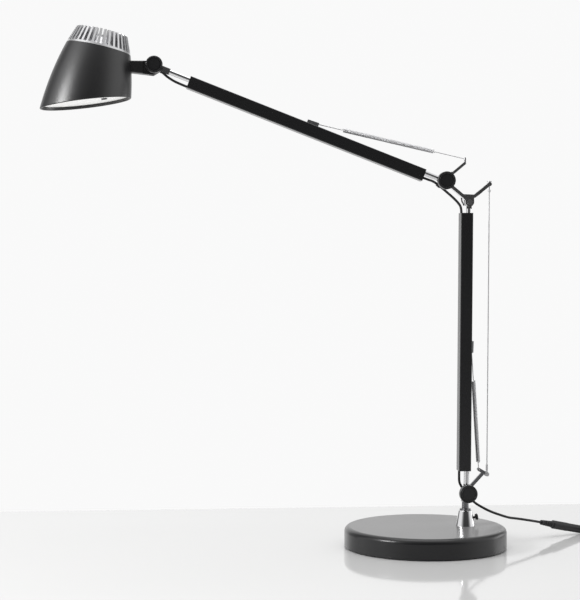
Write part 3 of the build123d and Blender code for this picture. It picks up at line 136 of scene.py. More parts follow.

# %% [markdown]
# ## Cables and cords
# A cable is a curve with a round bevel. A NURBS spline goes smoothly near its control points, so
# a few given points give a natural bend. The order is set after the points, because a spline that
# has no points yet keeps the lowest order, which would draw straight runs.

# %% Cable helper
CABLE_RADIUS = 0.0017


def cable(name, points, radius=CABLE_RADIUS, steps=10, closed=False):
    """A round cord near the points. Its radius sits on the points and the bevel itself is 1."""
    curve = bpy.data.curves.new(name, "CURVE")
    curve.dimensions = "3D"
    spline = curve.splines.new("NURBS")
    spline.points.add(len(points) - 1)
    for knot, place in zip(spline.points, points):
        knot.co = (*place, 1.0)
        knot.radius = radius
    spline.order_u = 3
    spline.use_endpoint_u = True
    spline.use_cyclic_u = closed
    curve.resolution_u = steps
    curve.bevel_depth = 1.0
    curve.bevel_resolution = 5
    curve.use_fill_caps = True
    piece = bpy.data.objects.new(name, curve)
    scene.collection.objects.link(piece)
    return piece


def centre_line(piece):
    """The points that the curve follows, read with its bevel off for a moment."""
    depth = piece.data.bevel_depth
    piece.data.bevel_depth = 0.0
    bpy.context.view_layer.update()
    graph = bpy.context.evaluated_depsgraph_get()
    line = bpy.data.meshes.new_from_object(piece.evaluated_get(graph))
    points = [vertex.co.copy() for vertex in line.vertices]
    bpy.data.meshes.remove(line)
    piece.data.bevel_depth = depth
    return points


def run_length(points):
    return sum((b - a).length for a, b in zip(points, points[1:]))


# %% [markdown]
# ### The lead on the table
# The lead leaves the swivel post, drops in one easy curve and runs to its connector. The first
# stretch, which turns with the post, is a mesh tube. The rest is a plain curve.

# %% Lead
post_drop = cable("lead_drop", [
    (0.0565, 0.0144, 0.0733), (0.06153, 0.0144, 0.06584), (0.0714, 0.0152, 0.0564),
    (0.0846, 0.0176, 0.0484), (0.0996, 0.0224, 0.041), (0.116, 0.0284, 0.0352)])
drop_path = centre_line(post_drop)
to_mesh(post_drop)
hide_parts("lead_swivel")
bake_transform(post_drop)

lead = cable("lead_on", [
    (0.116, 0.0284, 0.0352), (0.12313, 0.03101, 0.03268), (0.134, 0.0356, 0.031),
    (0.1526, 0.0436, 0.027), (0.16604, 0.05079, 0.02385), (0.174, 0.0545, 0.0219)])
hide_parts("lead")
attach(lead, "base")
run_length(centre_line(lead))
print("lead", round(run_length(drop_path), 4), round(run_length(centre_line(lead)), 4))

# %% [markdown]
# ### The adapter's cord
# The rest of the cord is put away in a round coil in four layers. Each turn is a set of control
# points on a circle, twelve to a turn. A quadratic spline runs a little inside its points, so the
# points lie on a circle that is larger by the same share.

# %% Coil of the adapter's cord
COIL_START = Vector((0.292, 0.099, 0.0026))
COIL_RADIUS = 0.025
COIL_PITCH = 0.0039
LAYERS = 4
HALF_TURNS = 6
HALF_POINTS = 6
STEP_ANGLE = math.radians(180 / HALF_POINTS)
SPLINE_SHARE = 0.75 + 0.25 * math.cos(STEP_ANGLE)
TAIL = (0.010, 0.034)


def coil_points():
    """Half turn by half turn, each a little wider or tighter, climbing at the end of a layer."""
    place, way, inward = COIL_START.copy(), Vector((1, 0, 0)), Vector((0, -1, 0))
    radius, change = COIL_RADIUS, -COIL_PITCH / 2
    points = []
    for layer in range(LAYERS):
        for half in range(HALF_TURNS):
            climbs = half == HALF_TURNS - 1 and layer < LAYERS - 1
            rise = math.asin(COIL_PITCH / (2 * radius)) if climbs else 0.0
            to_centre = inward * math.cos(rise) + Vector((0, 0, 1)) * math.sin(rise)
            centre = place + to_centre * radius
            for step in range(HALF_POINTS):
                angle = (step + 0.5) * STEP_ANGLE
                spoke = way * math.sin(angle) - to_centre * math.cos(angle)
                points.append(centre + spoke * (radius / SPLINE_SHARE))
            place = centre + to_centre * radius
            way, inward = -way, -inward
            change = -change if climbs else change
            radius += change
    return points + [place + way * reach for reach in TAIL]


adapter_cord = cable("adapter_cord", [
    (0.24922, 0.08956, 0.00352), (0.25542, 0.09244, 0.00201), (0.2676, 0.097, 0.0026),
    (0.28, 0.099, 0.0026), *coil_points()], steps=4)
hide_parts("adapter_lead", "adapter_coil")
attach(adapter_cord, "base")
run_length(centre_line(adapter_cord))
print("adapter cord", round(run_length(centre_line(adapter_cord)), 4))

# %% [markdown]
# ### Cable loops at the joints
# Between the sleeves the lamp cable shows as short loops, long enough for the joint's whole range.
# Each loop is a mesh tube that takes the place of the CAD model's loop.

# %% Cable loops
def joint_loop(name, node, points):
    piece = to_mesh(cable(name, points))
    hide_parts(node)
    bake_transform(piece)
    return piece


loops = [
    joint_loop("base_loop", "cable_base_loop", [
        (0.04728, 0.004, 0.10236), (0.04723, 0.004, 0.09436), (0.0483, 0.009, 0.0876),
        (0.05091, 0.0144, 0.08159), (0.0565, 0.0144, 0.0733)]),
    joint_loop("elbow_lower_loop", "cable_elbow_lower", [
        (0.04949, 0.004, 0.45435), (0.04954, 0.004, 0.46135), (0.0443, 0.0049, 0.4686),
        (0.0372, 0.0066, 0.4758), (0.02627, 0.0096, 0.48563), (0.01928, 0.0096, 0.49129)]),
    joint_loop("elbow_upper_loop", "cable_elbow_upper", [
        (0.01928, 0.0096, 0.49129), (0.01306, 0.0096, 0.49633), (0.00339, 0.004, 0.49865),
        (-0.00361, 0.004, 0.50135)]),
    joint_loop("head_loop", "cable_head_loop", [
        (-0.32336, 0.004, 0.6213), (-0.33176, 0.004, 0.62454), (-0.3422, 0.0048, 0.6296),
        (-0.3519, 0.0056, 0.63658), (-0.36039, 0.0056, 0.64506)]),
]
print("loops", len(loops))

# %% [markdown]
# ## Balance springs
# A balance spring is a close-wound coil with a straight wire to its anchor on the arm and a hook
# at the other end. The coil is one small ring of wire, swept by the Screw modifier. The Screw
# modifier is quicker than drawing turns, and it keeps the pitch exact. The real wire turns lie on
# each other, so the pitch is just over the wire's thickness.

# %% Spring helpers
WIRE_RADIUS = 0.0006
TURN_RADIUS = 0.0024
PITCH = 2 * WIRE_RADIUS * 1.06
STEPS_PER_TURN = 14


def lay_along(piece, start, end):
    """Move a piece modelled along +Z from the origin, so that it lies from start towards end."""
    way = (Vector(end) - Vector(start)).normalized()
    turned = way.to_track_quat("Z", "Y").to_matrix().to_4x4()
    piece.data.transform(Matrix.Translation(start) @ turned)
    piece.data.update()
    return piece


def wound_coil(name, length):
    turns = round(length / PITCH)
    bpy.ops.mesh.primitive_circle_add(vertices=8, radius=WIRE_RADIUS,
                                      location=(TURN_RADIUS, 0, 0), rotation=(math.pi / 2, 0, 0))
    ring = settle(bpy.context.active_object, name)
    screw = ring.modifiers.new("winding", "SCREW")
    screw.axis = "Z"
    screw.angle = 2 * math.pi * turns
    screw.screw_offset = length
    screw.steps = screw.render_steps = STEPS_PER_TURN * turns
    screw.use_merge_vertices = False
    bpy.ops.object.modifier_apply(modifier="winding")
    bpy.ops.object.mode_set(mode="EDIT")
    bpy.ops.mesh.select_all(action="SELECT")
    bpy.ops.mesh.normals_make_consistent(inside=False)
    bpy.ops.object.mode_set(mode="OBJECT")
    bpy.ops.object.shade_smooth()
    print(name, "turns", turns, "faces", len(ring.data.polygons))
    return ring


def wire_run(name, points):
    """A stretch of spring wire along given points, as a mesh."""
    return to_mesh(cable(name, points, WIRE_RADIUS))


def joined(first, *others):
    only(first)
    for other in others:
        other.select_set(True)
    bpy.ops.object.join()
    return first


def share_point(start, end, share):
    return Vector(start).lerp(Vector(end), share)


# From a coil's end, along its axis: where the straight wire ends, where it has begun to swing out,
# and where it has nearly reached the turns.
STRAIGHT, SWING, MEET = 0.0030, 0.0014, 0.0006


def spring_wires(name, hook, anchor, foot, head):
    """The straight wires at both ends, each led into the coil's first and last turn."""
    way = (anchor - hook).normalized()
    turned = way.to_track_quat("Z", "Y")
    side, other = (turned @ Vector(axis) * TURN_RADIUS for axis in ((1, 0, 0), (0, 1, 0)))
    low = wire_run(name + "_hook", [
        hook, foot - way * STRAIGHT, foot - way * SWING + side * 0.2,
        foot - way * MEET + side - other * 0.9, foot + side])
    high = wire_run(name + "_wire", [
        head + side, head + way * MEET + side + other * 0.9, head + way * SWING + side * 0.2,
        head + way * STRAIGHT, share_point(head, anchor, 0.5), anchor])
    return low, high


def balance_spring(name, hook, anchor, foot_gap, head_gap):
    """The coil fills the line from hook to anchor except for a gap at each end."""
    hook, anchor = Vector(hook), Vector(anchor)
    span = anchor - hook
    foot = hook + span.normalized() * foot_gap
    head = hook + span.normalized() * (span.length - head_gap)
    low, high = spring_wires(name, hook, anchor, foot, head)
    coil = wound_coil(name + "_coil", span.length - head_gap - foot_gap)
    lay_along(coil, foot, anchor)
    return low, joined(coil, high)


# %% [markdown]
# ### How a spring moves
# Each spring is therefore two pieces: the hook's wire, where most of the turn happens, and the
# coil with its long wire, which takes the rest. The points of both are chosen so that the two
# pieces meet.

# %% Lower spring
LOWER_HOOK = (0.0751, 0.009, 0.1048)
LOWER_ANCHOR = (0.06479, 0.006, 0.26295)
lower_hook, lower_coil = balance_spring(
    "lower_spring", LOWER_HOOK, LOWER_ANCHOR, foot_gap=0.0088, head_gap=0.039)
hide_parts("spring_lower")
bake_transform(lower_hook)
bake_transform(lower_coil)

# %% Upper spring
UPPER_HOOK = (0.05198, 0.0, 0.52699)
UPPER_ANCHOR = (-0.14551, 0.0, 0.57165)
upper_hook, upper_coil = balance_spring(
    "upper_spring", UPPER_HOOK, UPPER_ANCHOR, foot_gap=0.0425, head_gap=0.034)
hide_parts("spring_upper")
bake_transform(upper_hook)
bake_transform(upper_coil)

# %% [markdown]
# ## Small fasteners
# The bolts of the elbow and the head end in button heads with a hexagon socket, and three more hold
# the LED board from inside the sink's dish. A button head is a short cylinder with a rounded edge,
# and its socket is cut with a six-sided cutter. Modelled once as a function, every copy has its
# own mesh. A rivet is the same button without a socket.

# %% Button head
def button(name, place, way, radius, height, socket=0.0):
    """A button head at place, standing out along way. A socket radius above 0 cuts a hexagon."""
    bpy.ops.mesh.primitive_cylinder_add(vertices=36, radius=radius, depth=height,
                                        location=(0, 0, height / 2))
    head = settle(bpy.context.active_object, name)
    rim = head.modifiers.new("rim", "BEVEL")
    rim.width = 0.45 * height
    rim.segments = 4
    rim.limit_method = "ANGLE"
    bpy.ops.object.modifier_apply(modifier="rim")
    if socket:
        # The cutter is as tall as the head and starts at 0.35 of its height.
        bpy.ops.mesh.primitive_cylinder_add(vertices=6, radius=socket, depth=height,
                                            location=(0, 0, 0.85 * height))
        cutter = settle(bpy.context.active_object, name + "_cutter")
        only(head)
        cut = head.modifiers.new("socket", "BOOLEAN")
        cut.object = cutter
        cut.operation = "DIFFERENCE"
        bpy.ops.object.modifier_apply(modifier="socket")
        bpy.data.objects.remove(cutter)
    only(head)
    bpy.ops.object.shade_smooth_by_angle(angle=math.radians(35))
    lay_along(head, place, Vector(place) + Vector(way))
    return head


# %% Place the buttons
BOLT_HEAD = (4.0 * MM, 1.7 * MM, 2.0 * MM)
SINK_SCREW = (3.0 * MM, 2.2 * MM, 1.5 * MM)
RIVET = (1.1 * MM, 0.7 * MM)
SINK_CIRCLE = 14 * MM
DISH_FLOOR = 5.6 * MM
SUNK = 0.1 * MM

elbow_button = button("elbow_socket_head", beside(ELBOW_PIVOT, 9.4 * MM), (0, 1, 0), *BOLT_HEAD)
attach(elbow_button, "elbow")
head_button = button("head_socket_head", beside(HEAD_PIVOT, 11.0 * MM), (0, 1, 0), *BOLT_HEAD)
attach(head_button, "head")
sink_screws = []
for index in range(3):
    angle = math.radians(90 + 120 * index)
    spot = in_shade(SINK_CIRCLE * math.cos(angle), SINK_CIRCLE * math.sin(angle), DISH_FLOOR - SUNK)
    screw = button(f"sink_screw_{index + 1}", spot, shade_axis, *SINK_SCREW)
    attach(screw, "head")
    sink_screws.append(screw)

rivets = []
for arm, x, z, faces in (("lower_arm", 64.0, 274.0, (3.0, 9.0)),
                         ("upper_arm", -156.9, 573.2, (-3.0, 3.0))):
    for number, (y, side) in enumerate(zip(faces, (-1, 1)), start=1):
        rivet = button(f"{arm}_rivet_{number}", (x * MM, y * MM - SUNK * side, z * MM),
                       (0, side, 0), *RIVET)
        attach(rivet, arm)
        rivets.append(rivet)
fasteners = [elbow_button, head_button, *sink_screws, *rivets]
print("fasteners", len(fasteners))

# %% [markdown]
# ## Rings on the knobs
# A thin raised ring runs round each knob's face near its rim. It is a torus that is flattened and
# sunk halfway into the face, so that it stands out as a low bead.

# %% Knob rings
KNOB_FACE = -18.7 * MM
RING_RADIUS, RING_THICKNESS = 9.7 * MM, 0.42 * MM


def knob_ring(name, pivot, body):
    centre = beside(pivot, KNOB_FACE)
    bpy.ops.mesh.primitive_torus_add(
        major_radius=RING_RADIUS, minor_radius=RING_THICKNESS, major_segments=72,
        minor_segments=12, location=centre, rotation=(math.pi / 2, 0, 0))
    ring = settle(bpy.context.active_object, name)
    bpy.ops.object.mode_set(mode="EDIT")
    bpy.ops.mesh.select_all(action="SELECT")
    bpy.ops.transform.resize(value=(1, 0.7, 1), center_override=centre)
    bpy.ops.object.mode_set(mode="OBJECT")
    only(ring)
    bpy.ops.object.shade_smooth()
    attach(ring, body)
    return ring


knob_rings = {
    "knob_base": knob_ring("knob_base_ring", BASE_PIVOT, "knob_base"),
    "knob_elbow": knob_ring("knob_elbow_ring", ELBOW_PIVOT, "knob_elbow"),
    "knob_head": knob_ring("knob_head_ring", HEAD_PIVOT, "knob_head"),
}
print("knob rings", len(knob_rings))

# %% [markdown]
# ## The rolled lip
# The sheet of the shade is rolled over at its mouth, which takes away the sharp edge and catches a
# line of light. The mouth is a slanted cut, so the rim is an oval. Its points are found on the
# shade's own mesh: those that lie in the mouth's plane, farthest out in each direction. A closed
# curve with a round bevel runs along them, a little inside the outer wall.

# %% Rolled lip
RIM_STEPS = 96
LIP_RADIUS = 1.0 * MM
LIP_INSET = 1.15 * MM
PLANE_TOLERANCE = 0.05 * MM
OUTER_SHARE = 0.9
MOUTH_LOW = (-59.5 * MM, 0, -94.0 * MM)
MOUTH_HIGH = (55.7 * MM, 0, -53.7 * MM)
low_edge, high_edge = in_shade(*MOUTH_LOW), in_shade(*MOUTH_HIGH)
mouth_centre = (low_edge + high_edge) / 2
across_mouth = (high_edge - low_edge).normalized()
mouth_normal = across_mouth.cross(Vector((0, 1, 0)))
farthest = [None] * RIM_STEPS
for vertex in frame["nodes"]["shade"].data.vertices:
    spoke = vertex.co - mouth_centre
    if abs(spoke.dot(mouth_normal)) > PLANE_TOLERANCE:
        continue
    heading = math.atan2(spoke.y, spoke.dot(across_mouth)) / (2 * math.pi) % 1.0
    step = int(heading * RIM_STEPS)
    if farthest[step] is None or spoke.length > farthest[step].length:
        farthest[step] = spoke
rim = [spoke for spoke in farthest if spoke is not None]
longest = max(spoke.length for spoke in rim)
rim = [spoke for spoke in rim if spoke.length > OUTER_SHARE * longest]
print("rim points", len(rim))
rim_points = [mouth_centre + spoke * (1 - LIP_INSET / spoke.length) for spoke in rim]
rim_curve = to_mesh(cable("shade_lip", rim_points, LIP_RADIUS, steps=2, closed=True))
bpy.ops.object.shade_smooth()
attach(rim_curve, "head")

# %% [markdown]
# ## Effects that several finishes share
# Paint skin, brushing, turned rings and dust appear on more than one material. Each is a shader
# group with named inputs, so it is made once and every material gives it its own values.

# %% Node helpers
FLOAT, VECTOR = "NodeSocketFloat", "NodeSocketVector"


def put(tree, socket, value):
    """Give a socket a plain value, or link another node's output to it."""
    if isinstance(value, bpy.types.NodeSocket):
        tree.links.new(value, socket)
    else:
        socket.default_value = value


def add_node(tree, kind, inputs=None, **settings):
    """A new node with its own settings and its inputs, which go by label or number."""
    node = tree.nodes.new("ShaderNode" + kind)
    for setting, value in settings.items():
        setattr(node, setting, value)
    for label, value in (inputs or {}).items():
        put(tree, node.inputs[label], value)
    return node


def math_node(tree, operation, *values):
    return add_node(tree, "Math", dict(enumerate(values)), operation=operation).outputs[0]


def noise(tree, place, scale, detail=2.0):
    inputs = {"Vector": place, "Scale": scale, "Detail": detail}
    return add_node(tree, "TexNoise", inputs).outputs["Fac"]


def ramp(tree, value, start, end, low=0.0, high=1.0, interpolation="SMOOTHSTEP"):
    """A step from low at start to high at end."""
    inputs = {"Value": value, "From Min": start, "From Max": end, "To Min": low, "To Max": high}
    return add_node(tree, "MapRange", inputs, interpolation_type=interpolation).outputs[0]


def new_effect(name, inputs, outputs):
    group = bpy.data.node_groups.new(name, "ShaderNodeTree")
    for label, kind, value in inputs:
        socket = group.interface.new_socket(label, in_out="INPUT", socket_type=kind)
        if value is not None:
            socket.default_value = value
    for label in outputs:
        group.interface.new_socket(label, in_out="OUTPUT", socket_type="NodeSocketFloat")
    return group, group.nodes.new("NodeGroupInput"), group.nodes.new("NodeGroupOutput")


# %% [markdown]
# ### Skin
# Sprayed paint has a faint skin like the peel of an orange, and moulded plastic has a finer
# grain. Both are one noise for the height and one much larger noise for slow changes of gloss.

# %% Skin effect
skin, entry, leave = new_effect("skin", [
    ("Place", VECTOR, None), ("Fineness", FLOAT, 900.0), ("Patches", FLOAT, 18.0)],
    ["Height", "Gloss change"])
for output, source, detail in (("Height", "Fineness", 3.0), ("Gloss change", "Patches", 4.0)):
    value = noise(skin, entry.outputs["Place"], entry.outputs[source], detail)
    put(skin, leave.inputs[output], value)
print("effect", skin.name)

# %% [markdown]
# ### Dust and rubbing
# Dust settles on faces that look up, in patches and specks. The face's own normal says how far
# up it looks, and two noises break the dust up.

# %% Dust effect
dust, entry, leave = new_effect("dust", [
    ("Place", VECTOR, None), ("Amount", FLOAT, 0.5)], ["Mask"])
normal = add_node(dust, "NewGeometry").outputs["Normal"]
rise = add_node(dust, "SeparateXYZ", {0: normal}).outputs["Z"]
upward = math_node(dust, "SMOOTH_MIN", math_node(dust, "MAXIMUM", rise, 0.0), 1.0, 0.1)
specks = noise(dust, entry.outputs["Place"], 2600.0)
patches = noise(dust, entry.outputs["Place"], 22.0)
# Only the peaks of the fine noise become specks. Between them the dust is a quarter as strong.
sharp = math_node(dust, "MULTIPLY_ADD", specks, 6.0, -3.4)
sharp = math_node(dust, "MINIMUM", math_node(dust, "MAXIMUM", sharp, 0.0), 1.0)
spread = math_node(dust, "MULTIPLY", math_node(dust, "POWER", upward, 6.0), patches)
amount = math_node(dust, "MULTIPLY", spread, entry.outputs["Amount"])
mask = math_node(dust, "MULTIPLY", amount, math_node(dust, "MULTIPLY_ADD", sharp, 0.75, 0.25))
put(dust, leave.inputs["Mask"], mask)
print("effect", dust.name)

# %% [markdown]
# ### Brushing
# A brushed or drawn metal has lines along one direction. A noise that changes slowly along that
# direction gives them. Along scales the three axes, so a small number draws the lines out.

# %% Brushing effect
brushing, entry, leave = new_effect("brushing", [
    ("Place", VECTOR, None), ("Fineness", FLOAT, 3000.0), ("Along", VECTOR, None)],
    ["Height", "Gloss change"])
drawn = add_node(brushing, "VectorMath", {
    0: entry.outputs["Place"], 1: entry.outputs["Along"]}, operation="MULTIPLY").outputs[0]
for output, share in (("Height", 1.0), ("Gloss change", 0.12)):
    fineness = math_node(brushing, "MULTIPLY", entry.outputs["Fineness"], share)
    put(brushing, leave.inputs[output], noise(brushing, drawn, fineness, 4.0))
print("effect", brushing.name)

# %% [markdown]
# ### Turned rings
# A lathe leaves fine rings round its axis. The distance from the axis drives them, and a noise
# makes them uneven. Place is centred on the piece, and Ignore is 0 for the lathe's axis and 1 for
# the other two.

# %% Turned rings effect
rings, entry, leave = new_effect("turned_rings", [
    ("Place", VECTOR, None), ("Ignore", VECTOR, None), ("Spacing", FLOAT, 0.0004)],
    ["Height", "Gloss change"])
flat = add_node(rings, "VectorMath", {
    0: entry.outputs["Place"], 1: entry.outputs["Ignore"]}, operation="MULTIPLY").outputs[0]
reach = add_node(rings, "VectorMath", {0: flat}, operation="LENGTH").outputs["Value"]
phase = math_node(rings, "DIVIDE", reach, entry.outputs["Spacing"])
wave = math_node(rings, "SINE", math_node(rings, "MULTIPLY", phase, 2 * math.pi))
uneven = add_node(rings, "TexNoise", {
    "Detail": 3.0, "W": math_node(rings, "MULTIPLY", phase, 0.37)},
    noise_dimensions="1D").outputs["Fac"]
put(rings, leave.inputs["Height"], math_node(rings, "MULTIPLY_ADD", wave, 0.25, uneven))
put(rings, leave.inputs["Gloss change"], uneven)
print("effect", rings.name)

# %% [markdown]
# ## Finishes
# Every finish starts from the same small helper: an empty material with a Principled shader and
# the object's own coordinates. Numbers that are the same all over are set on the shader itself.

# %% Finish helpers
class Finish:
    """A material with a Principled shader, and the place that its effects start from."""

    def __init__(self, name, colour, roughness, metallic=0.0, centre=(0, 0, 0), tilt=0.0):
        self.material = bpy.data.materials.new(name)
        self.material.use_nodes = True
        self.tree = self.material.node_tree
        self.tree.nodes.clear()
        self.shader = add_node(self.tree, "BsdfPrincipled", {
            "Base Color": (*colour, 1.0), "Roughness": roughness, "Metallic": metallic})
        self.output = add_node(self.tree, "OutputMaterial", {"Surface": self.shader.outputs[0]})
        place = add_node(self.tree, "TexCoord").outputs["Object"]
        self.place = add_node(self.tree, "Mapping", vector_type="TEXTURE", inputs={
            "Vector": place, "Location": centre, "Rotation": (0, tilt, 0)}).outputs[0]

    def effect(self, group, **values):
        return add_node(self.tree, "Group", {"Place": self.place, **values}, node_tree=group)

    def between(self, factor, low, high):
        """A number that runs from low to high as factor runs from 0 to 1."""
        return math_node(self.tree, "MULTIPLY_ADD", factor, high - low, low)

    def colours(self, factor, low, high):
        """A colour that runs from low to high as factor runs from 0 to 1."""
        mix = add_node(self.tree, "Mix", {"Factor": factor}, data_type="RGBA")
        for label, colour in (("A", low), ("B", high)):
            socket = next(s for s in mix.inputs if s.name == label and s.type == "RGBA")
            socket.default_value = (*colour, 1.0)
        return next(s for s in mix.outputs if s.type == "RGBA")

    def feed(self, label, value):
        put(self.tree, self.shader.inputs[label], value)

    def bump(self, height, depth, strength=1.0):
        bump = add_node(self.tree, "Bump", {
            "Strength": strength, "Distance": depth, "Height": height})
        self.feed("Normal", bump.outputs[0])


# %% [markdown]
# ### Satin black paint
# The base cover, the sleeves, the neck and the shade are sprayed satin black. The paint's skin
# breaks reflections up a little, its gloss changes slowly over the surface, and fine dust shows on
# what looks up.

# %% Satin black paint
BLACK = (0.012, 0.012, 0.0128)
DUST = (0.30, 0.29, 0.28)


def black_paint(name, roughness, dust_amount, gloss, sheen):
    finish = Finish(name, BLACK, roughness)
    finish.feed("Specular IOR Level", gloss)
    finish.feed("Sheen Weight", sheen)
    finish.feed("Sheen Roughness", 0.35)
    paint = finish.effect(skin, Fineness=1400.0, Patches=16.0)
    settled = finish.effect(dust, Amount=dust_amount)
    finish.feed("Base Color", finish.colours(settled.outputs["Mask"], BLACK, DUST))
    finish.feed("Roughness", finish.between(
        paint.outputs["Gloss change"], roughness - 0.05, roughness + 0.05))
    finish.bump(paint.outputs["Height"], 0.00003, 0.5)
    return finish.material


paint_base = black_paint("paint_base", 0.25, 0.12, 0.42, 0.36)
paint_shade = black_paint("paint_shade", 0.35, 0.08, 0.9, 0.0)
paint_sleeve = black_paint("paint_sleeve", 0.25, 0.08, 0.5, 0.08)

# %% [markdown]
# ### Bright metal
# The rods, the swivel and the elbow bracket are polished and chromed, and the springs are bare
# wire. Polishing leaves very faint lines, and hands leave smudges, so the gloss is not the same
# everywhere.

# %% Chrome
def polished(name, colour, roughness, along, depth):
    finish = Finish(name, colour, roughness, metallic=1.0)
    lines = finish.effect(brushing, Fineness=2600.0, Along=along)
    smudge = finish.effect(skin, Fineness=300.0, Patches=70.0)
    finish.feed("Roughness", finish.between(
        smudge.outputs["Gloss change"], roughness * 0.5, roughness * 1.6))
    finish.feed("Base Color", finish.colours(
        lines.outputs["Gloss change"], tuple(0.92 * c for c in colour), colour))
    finish.bump(lines.outputs["Height"], depth, 0.4)
    return finish.material


chrome_upright = polished("chrome_upright", (0.80, 0.80, 0.81), 0.09, (1.0, 1.0, 0.03), 0.000004)
chrome_arm = polished("chrome_arm", (0.80, 0.80, 0.81), 0.10, (0.08, 1.0, 1.0), 0.000004)
chrome_cast = polished("chrome_cast", (0.70, 0.70, 0.71), 0.16, (0.6, 1.0, 0.6), 0.00001)
# The stem is chromed like the rods. Its finish is a darker copy of chrome: painted dark reflection
# on the lever.
stem_chrome_painted_dark = polished("stem_chrome_painted_dark", (0.20, 0.20, 0.21), 0.20, (0.6, 1.0, 0.6), 0.00001)
spring_wire = polished("spring_wire", (0.72, 0.72, 0.73), 0.46, (1.0, 1.0, 1.0), 0.000006)

# %% [markdown]
# ### Turned and cast metal
# Bolts, pins and the nut are turned, the weight is rough cast iron, and the bush is plain bronze.

# %% Turned and cast metal
def turned_metal(name, colour, roughness, ignore, spacing, centre):
    finish = Finish(name, colour, roughness, metallic=1.0, centre=centre)
    cut = finish.effect(rings, Ignore=ignore, Spacing=spacing)
    finish.feed("Roughness", finish.between(
        cut.outputs["Gloss change"], roughness * 0.7, roughness * 1.3))
    finish.bump(cut.outputs["Height"], 0.000008, 0.6)
    return finish.material


STEEL, ROUND_Y = (0.50, 0.50, 0.51), (1, 0, 1)
steel_base = turned_metal("steel_base", STEEL, 0.30, ROUND_Y, 0.0003, BASE_PIVOT)
steel_elbow = turned_metal("steel_elbow", STEEL, 0.30, ROUND_Y, 0.0003, ELBOW_PIVOT)
steel_head = turned_metal("steel_head", STEEL, 0.30, ROUND_Y, 0.0003, HEAD_PIVOT)
button_steel = polished("button_steel", (0.45, 0.45, 0.46), 0.28, (1.0, 1.0, 1.0), 0.000006)
bronze = turned_metal("bronze", (0.75, 0.58, 0.30), 0.32, (1, 1, 0), 0.0004, (0.055, 0, 0))
pin_metal = turned_metal("pin_metal", (0.80, 0.76, 0.66), 0.22, (0, 1, 1), 0.0004, (0, 0, 0))

iron = Finish("cast_iron", (0.15, 0.15, 0.15), 0.75, metallic=0.4)
sand = iron.effect(skin, Fineness=700.0, Patches=40.0)
iron.feed("Base Color", iron.colours(
    sand.outputs["Gloss change"], (0.10, 0.10, 0.10), (0.20, 0.19, 0.185)))
iron.bump(sand.outputs["Height"], 0.0003, 0.8)

# %% [markdown]
# ### Bare aluminium
# The heat sink is turned from bare aluminium and its fins are milled. The rings follow the
# shade's axis, so the pattern is turned to the shade's tilt. Handling leaves slow clouds on the
# bare metal, where it is a little darker.

# %% Bare aluminium
aluminium = Finish("bare_aluminium", (0.82, 0.82, 0.83), 0.33, metallic=1.0, centre=SHADE_TOP,
                   tilt=SHADE_TILT)
lathe = aluminium.effect(rings, Ignore=(1, 1, 0), Spacing=0.00045)
cloud = aluminium.effect(skin, Fineness=900.0, Patches=60.0)
aluminium.feed("Roughness", aluminium.between(lathe.outputs["Gloss change"], 0.24, 0.44))
aluminium.feed("Base Color", aluminium.colours(
    cloud.outputs["Gloss change"], (0.66, 0.66, 0.67), (0.82, 0.82, 0.83)))
aluminium.bump(lathe.outputs["Height"], 0.000012, 0.5)

# %% [markdown]
# ### Black mouldings
# Knobs, plugs and posts are moulded in black plastic with a fine matt grain. On the knobs the tool
# has left rings round the pivot, so each knob's finish is centred on its own joint.

# %% Black mouldings
def moulding(name, colour, roughness, centre=None, fineness=2200.0):
    finish = Finish(name, colour, roughness, centre=centre or (0, 0, 0))
    grain = finish.effect(skin, Fineness=fineness, Patches=30.0)
    settled = finish.effect(dust, Amount=0.15)
    finish.feed("Base Color", finish.colours(
        settled.outputs["Mask"], colour, (0.20, 0.195, 0.19)))
    finish.feed("Roughness", finish.between(
        grain.outputs["Gloss change"], roughness - 0.08, roughness + 0.08))
    height = grain.outputs["Height"]
    if centre:
        tool = finish.effect(rings, Ignore=ROUND_Y, Spacing=0.0007)
        height = math_node(finish.tree, "MULTIPLY_ADD", tool.outputs["Height"], 0.8, height)
    finish.bump(height, 0.00002, 0.6)
    return finish.material


plastic = moulding("black_moulding", (0.013, 0.013, 0.014), 0.42)
KNOB_BLACK = (0.011, 0.011, 0.012)
knob_finish = {
    "knob_base": moulding("knob_at_base", KNOB_BLACK, 0.33, BASE_PIVOT),
    "knob_elbow": moulding("knob_at_elbow", KNOB_BLACK, 0.33, ELBOW_PIVOT),
    "knob_head": moulding("knob_at_head", KNOB_BLACK, 0.33, HEAD_PIVOT),
}
switch_grey = moulding("switch_grey", (0.07, 0.07, 0.075), 0.5)
foam = moulding("foam_pad", (0.03, 0.03, 0.03), 0.85, fineness=1200.0)
jacket = moulding("cable_jacket", (0.014, 0.014, 0.015), 0.55, fineness=3500.0)

# %% [markdown]
# ### Head: board, reflector and diffuser
# The diffuser is a milky disc. A little emission on top of its white surface is painted light: it
# brightens the disc, which faces down into shade, without burning out its edge. The board over it
# is white lacquer with round tracks.

# %% White parts of the head
milk = Finish("milky_diffuser", (0.93, 0.93, 0.92), 0.42, centre=SHADE_TOP)
frost = milk.effect(skin, Fineness=1800.0, Patches=24.0)
milk.feed("Roughness", milk.between(frost.outputs["Gloss change"], 0.36, 0.5))
milk.feed("Base Color", milk.colours(
    frost.outputs["Gloss change"], (0.90, 0.90, 0.89), (0.95, 0.95, 0.945)))
milk.bump(frost.outputs["Height"], 0.00002, 0.3)
# Painted light: this emission lifts the shaded, downward-facing disc.
milk.feed("Emission Color", (1.0, 0.985, 0.96, 1.0))
milk.feed("Emission Strength", 0.22)

white = Finish("reflector_white", (0.9, 0.9, 0.9), 0.3)
film = white.effect(skin, Fineness=1600.0, Patches=30.0)
white.feed("Base Color", white.colours(
    film.outputs["Gloss change"], (0.87, 0.87, 0.865), (0.92, 0.92, 0.92)))
white.bump(film.outputs["Height"], 0.00002, 0.3)

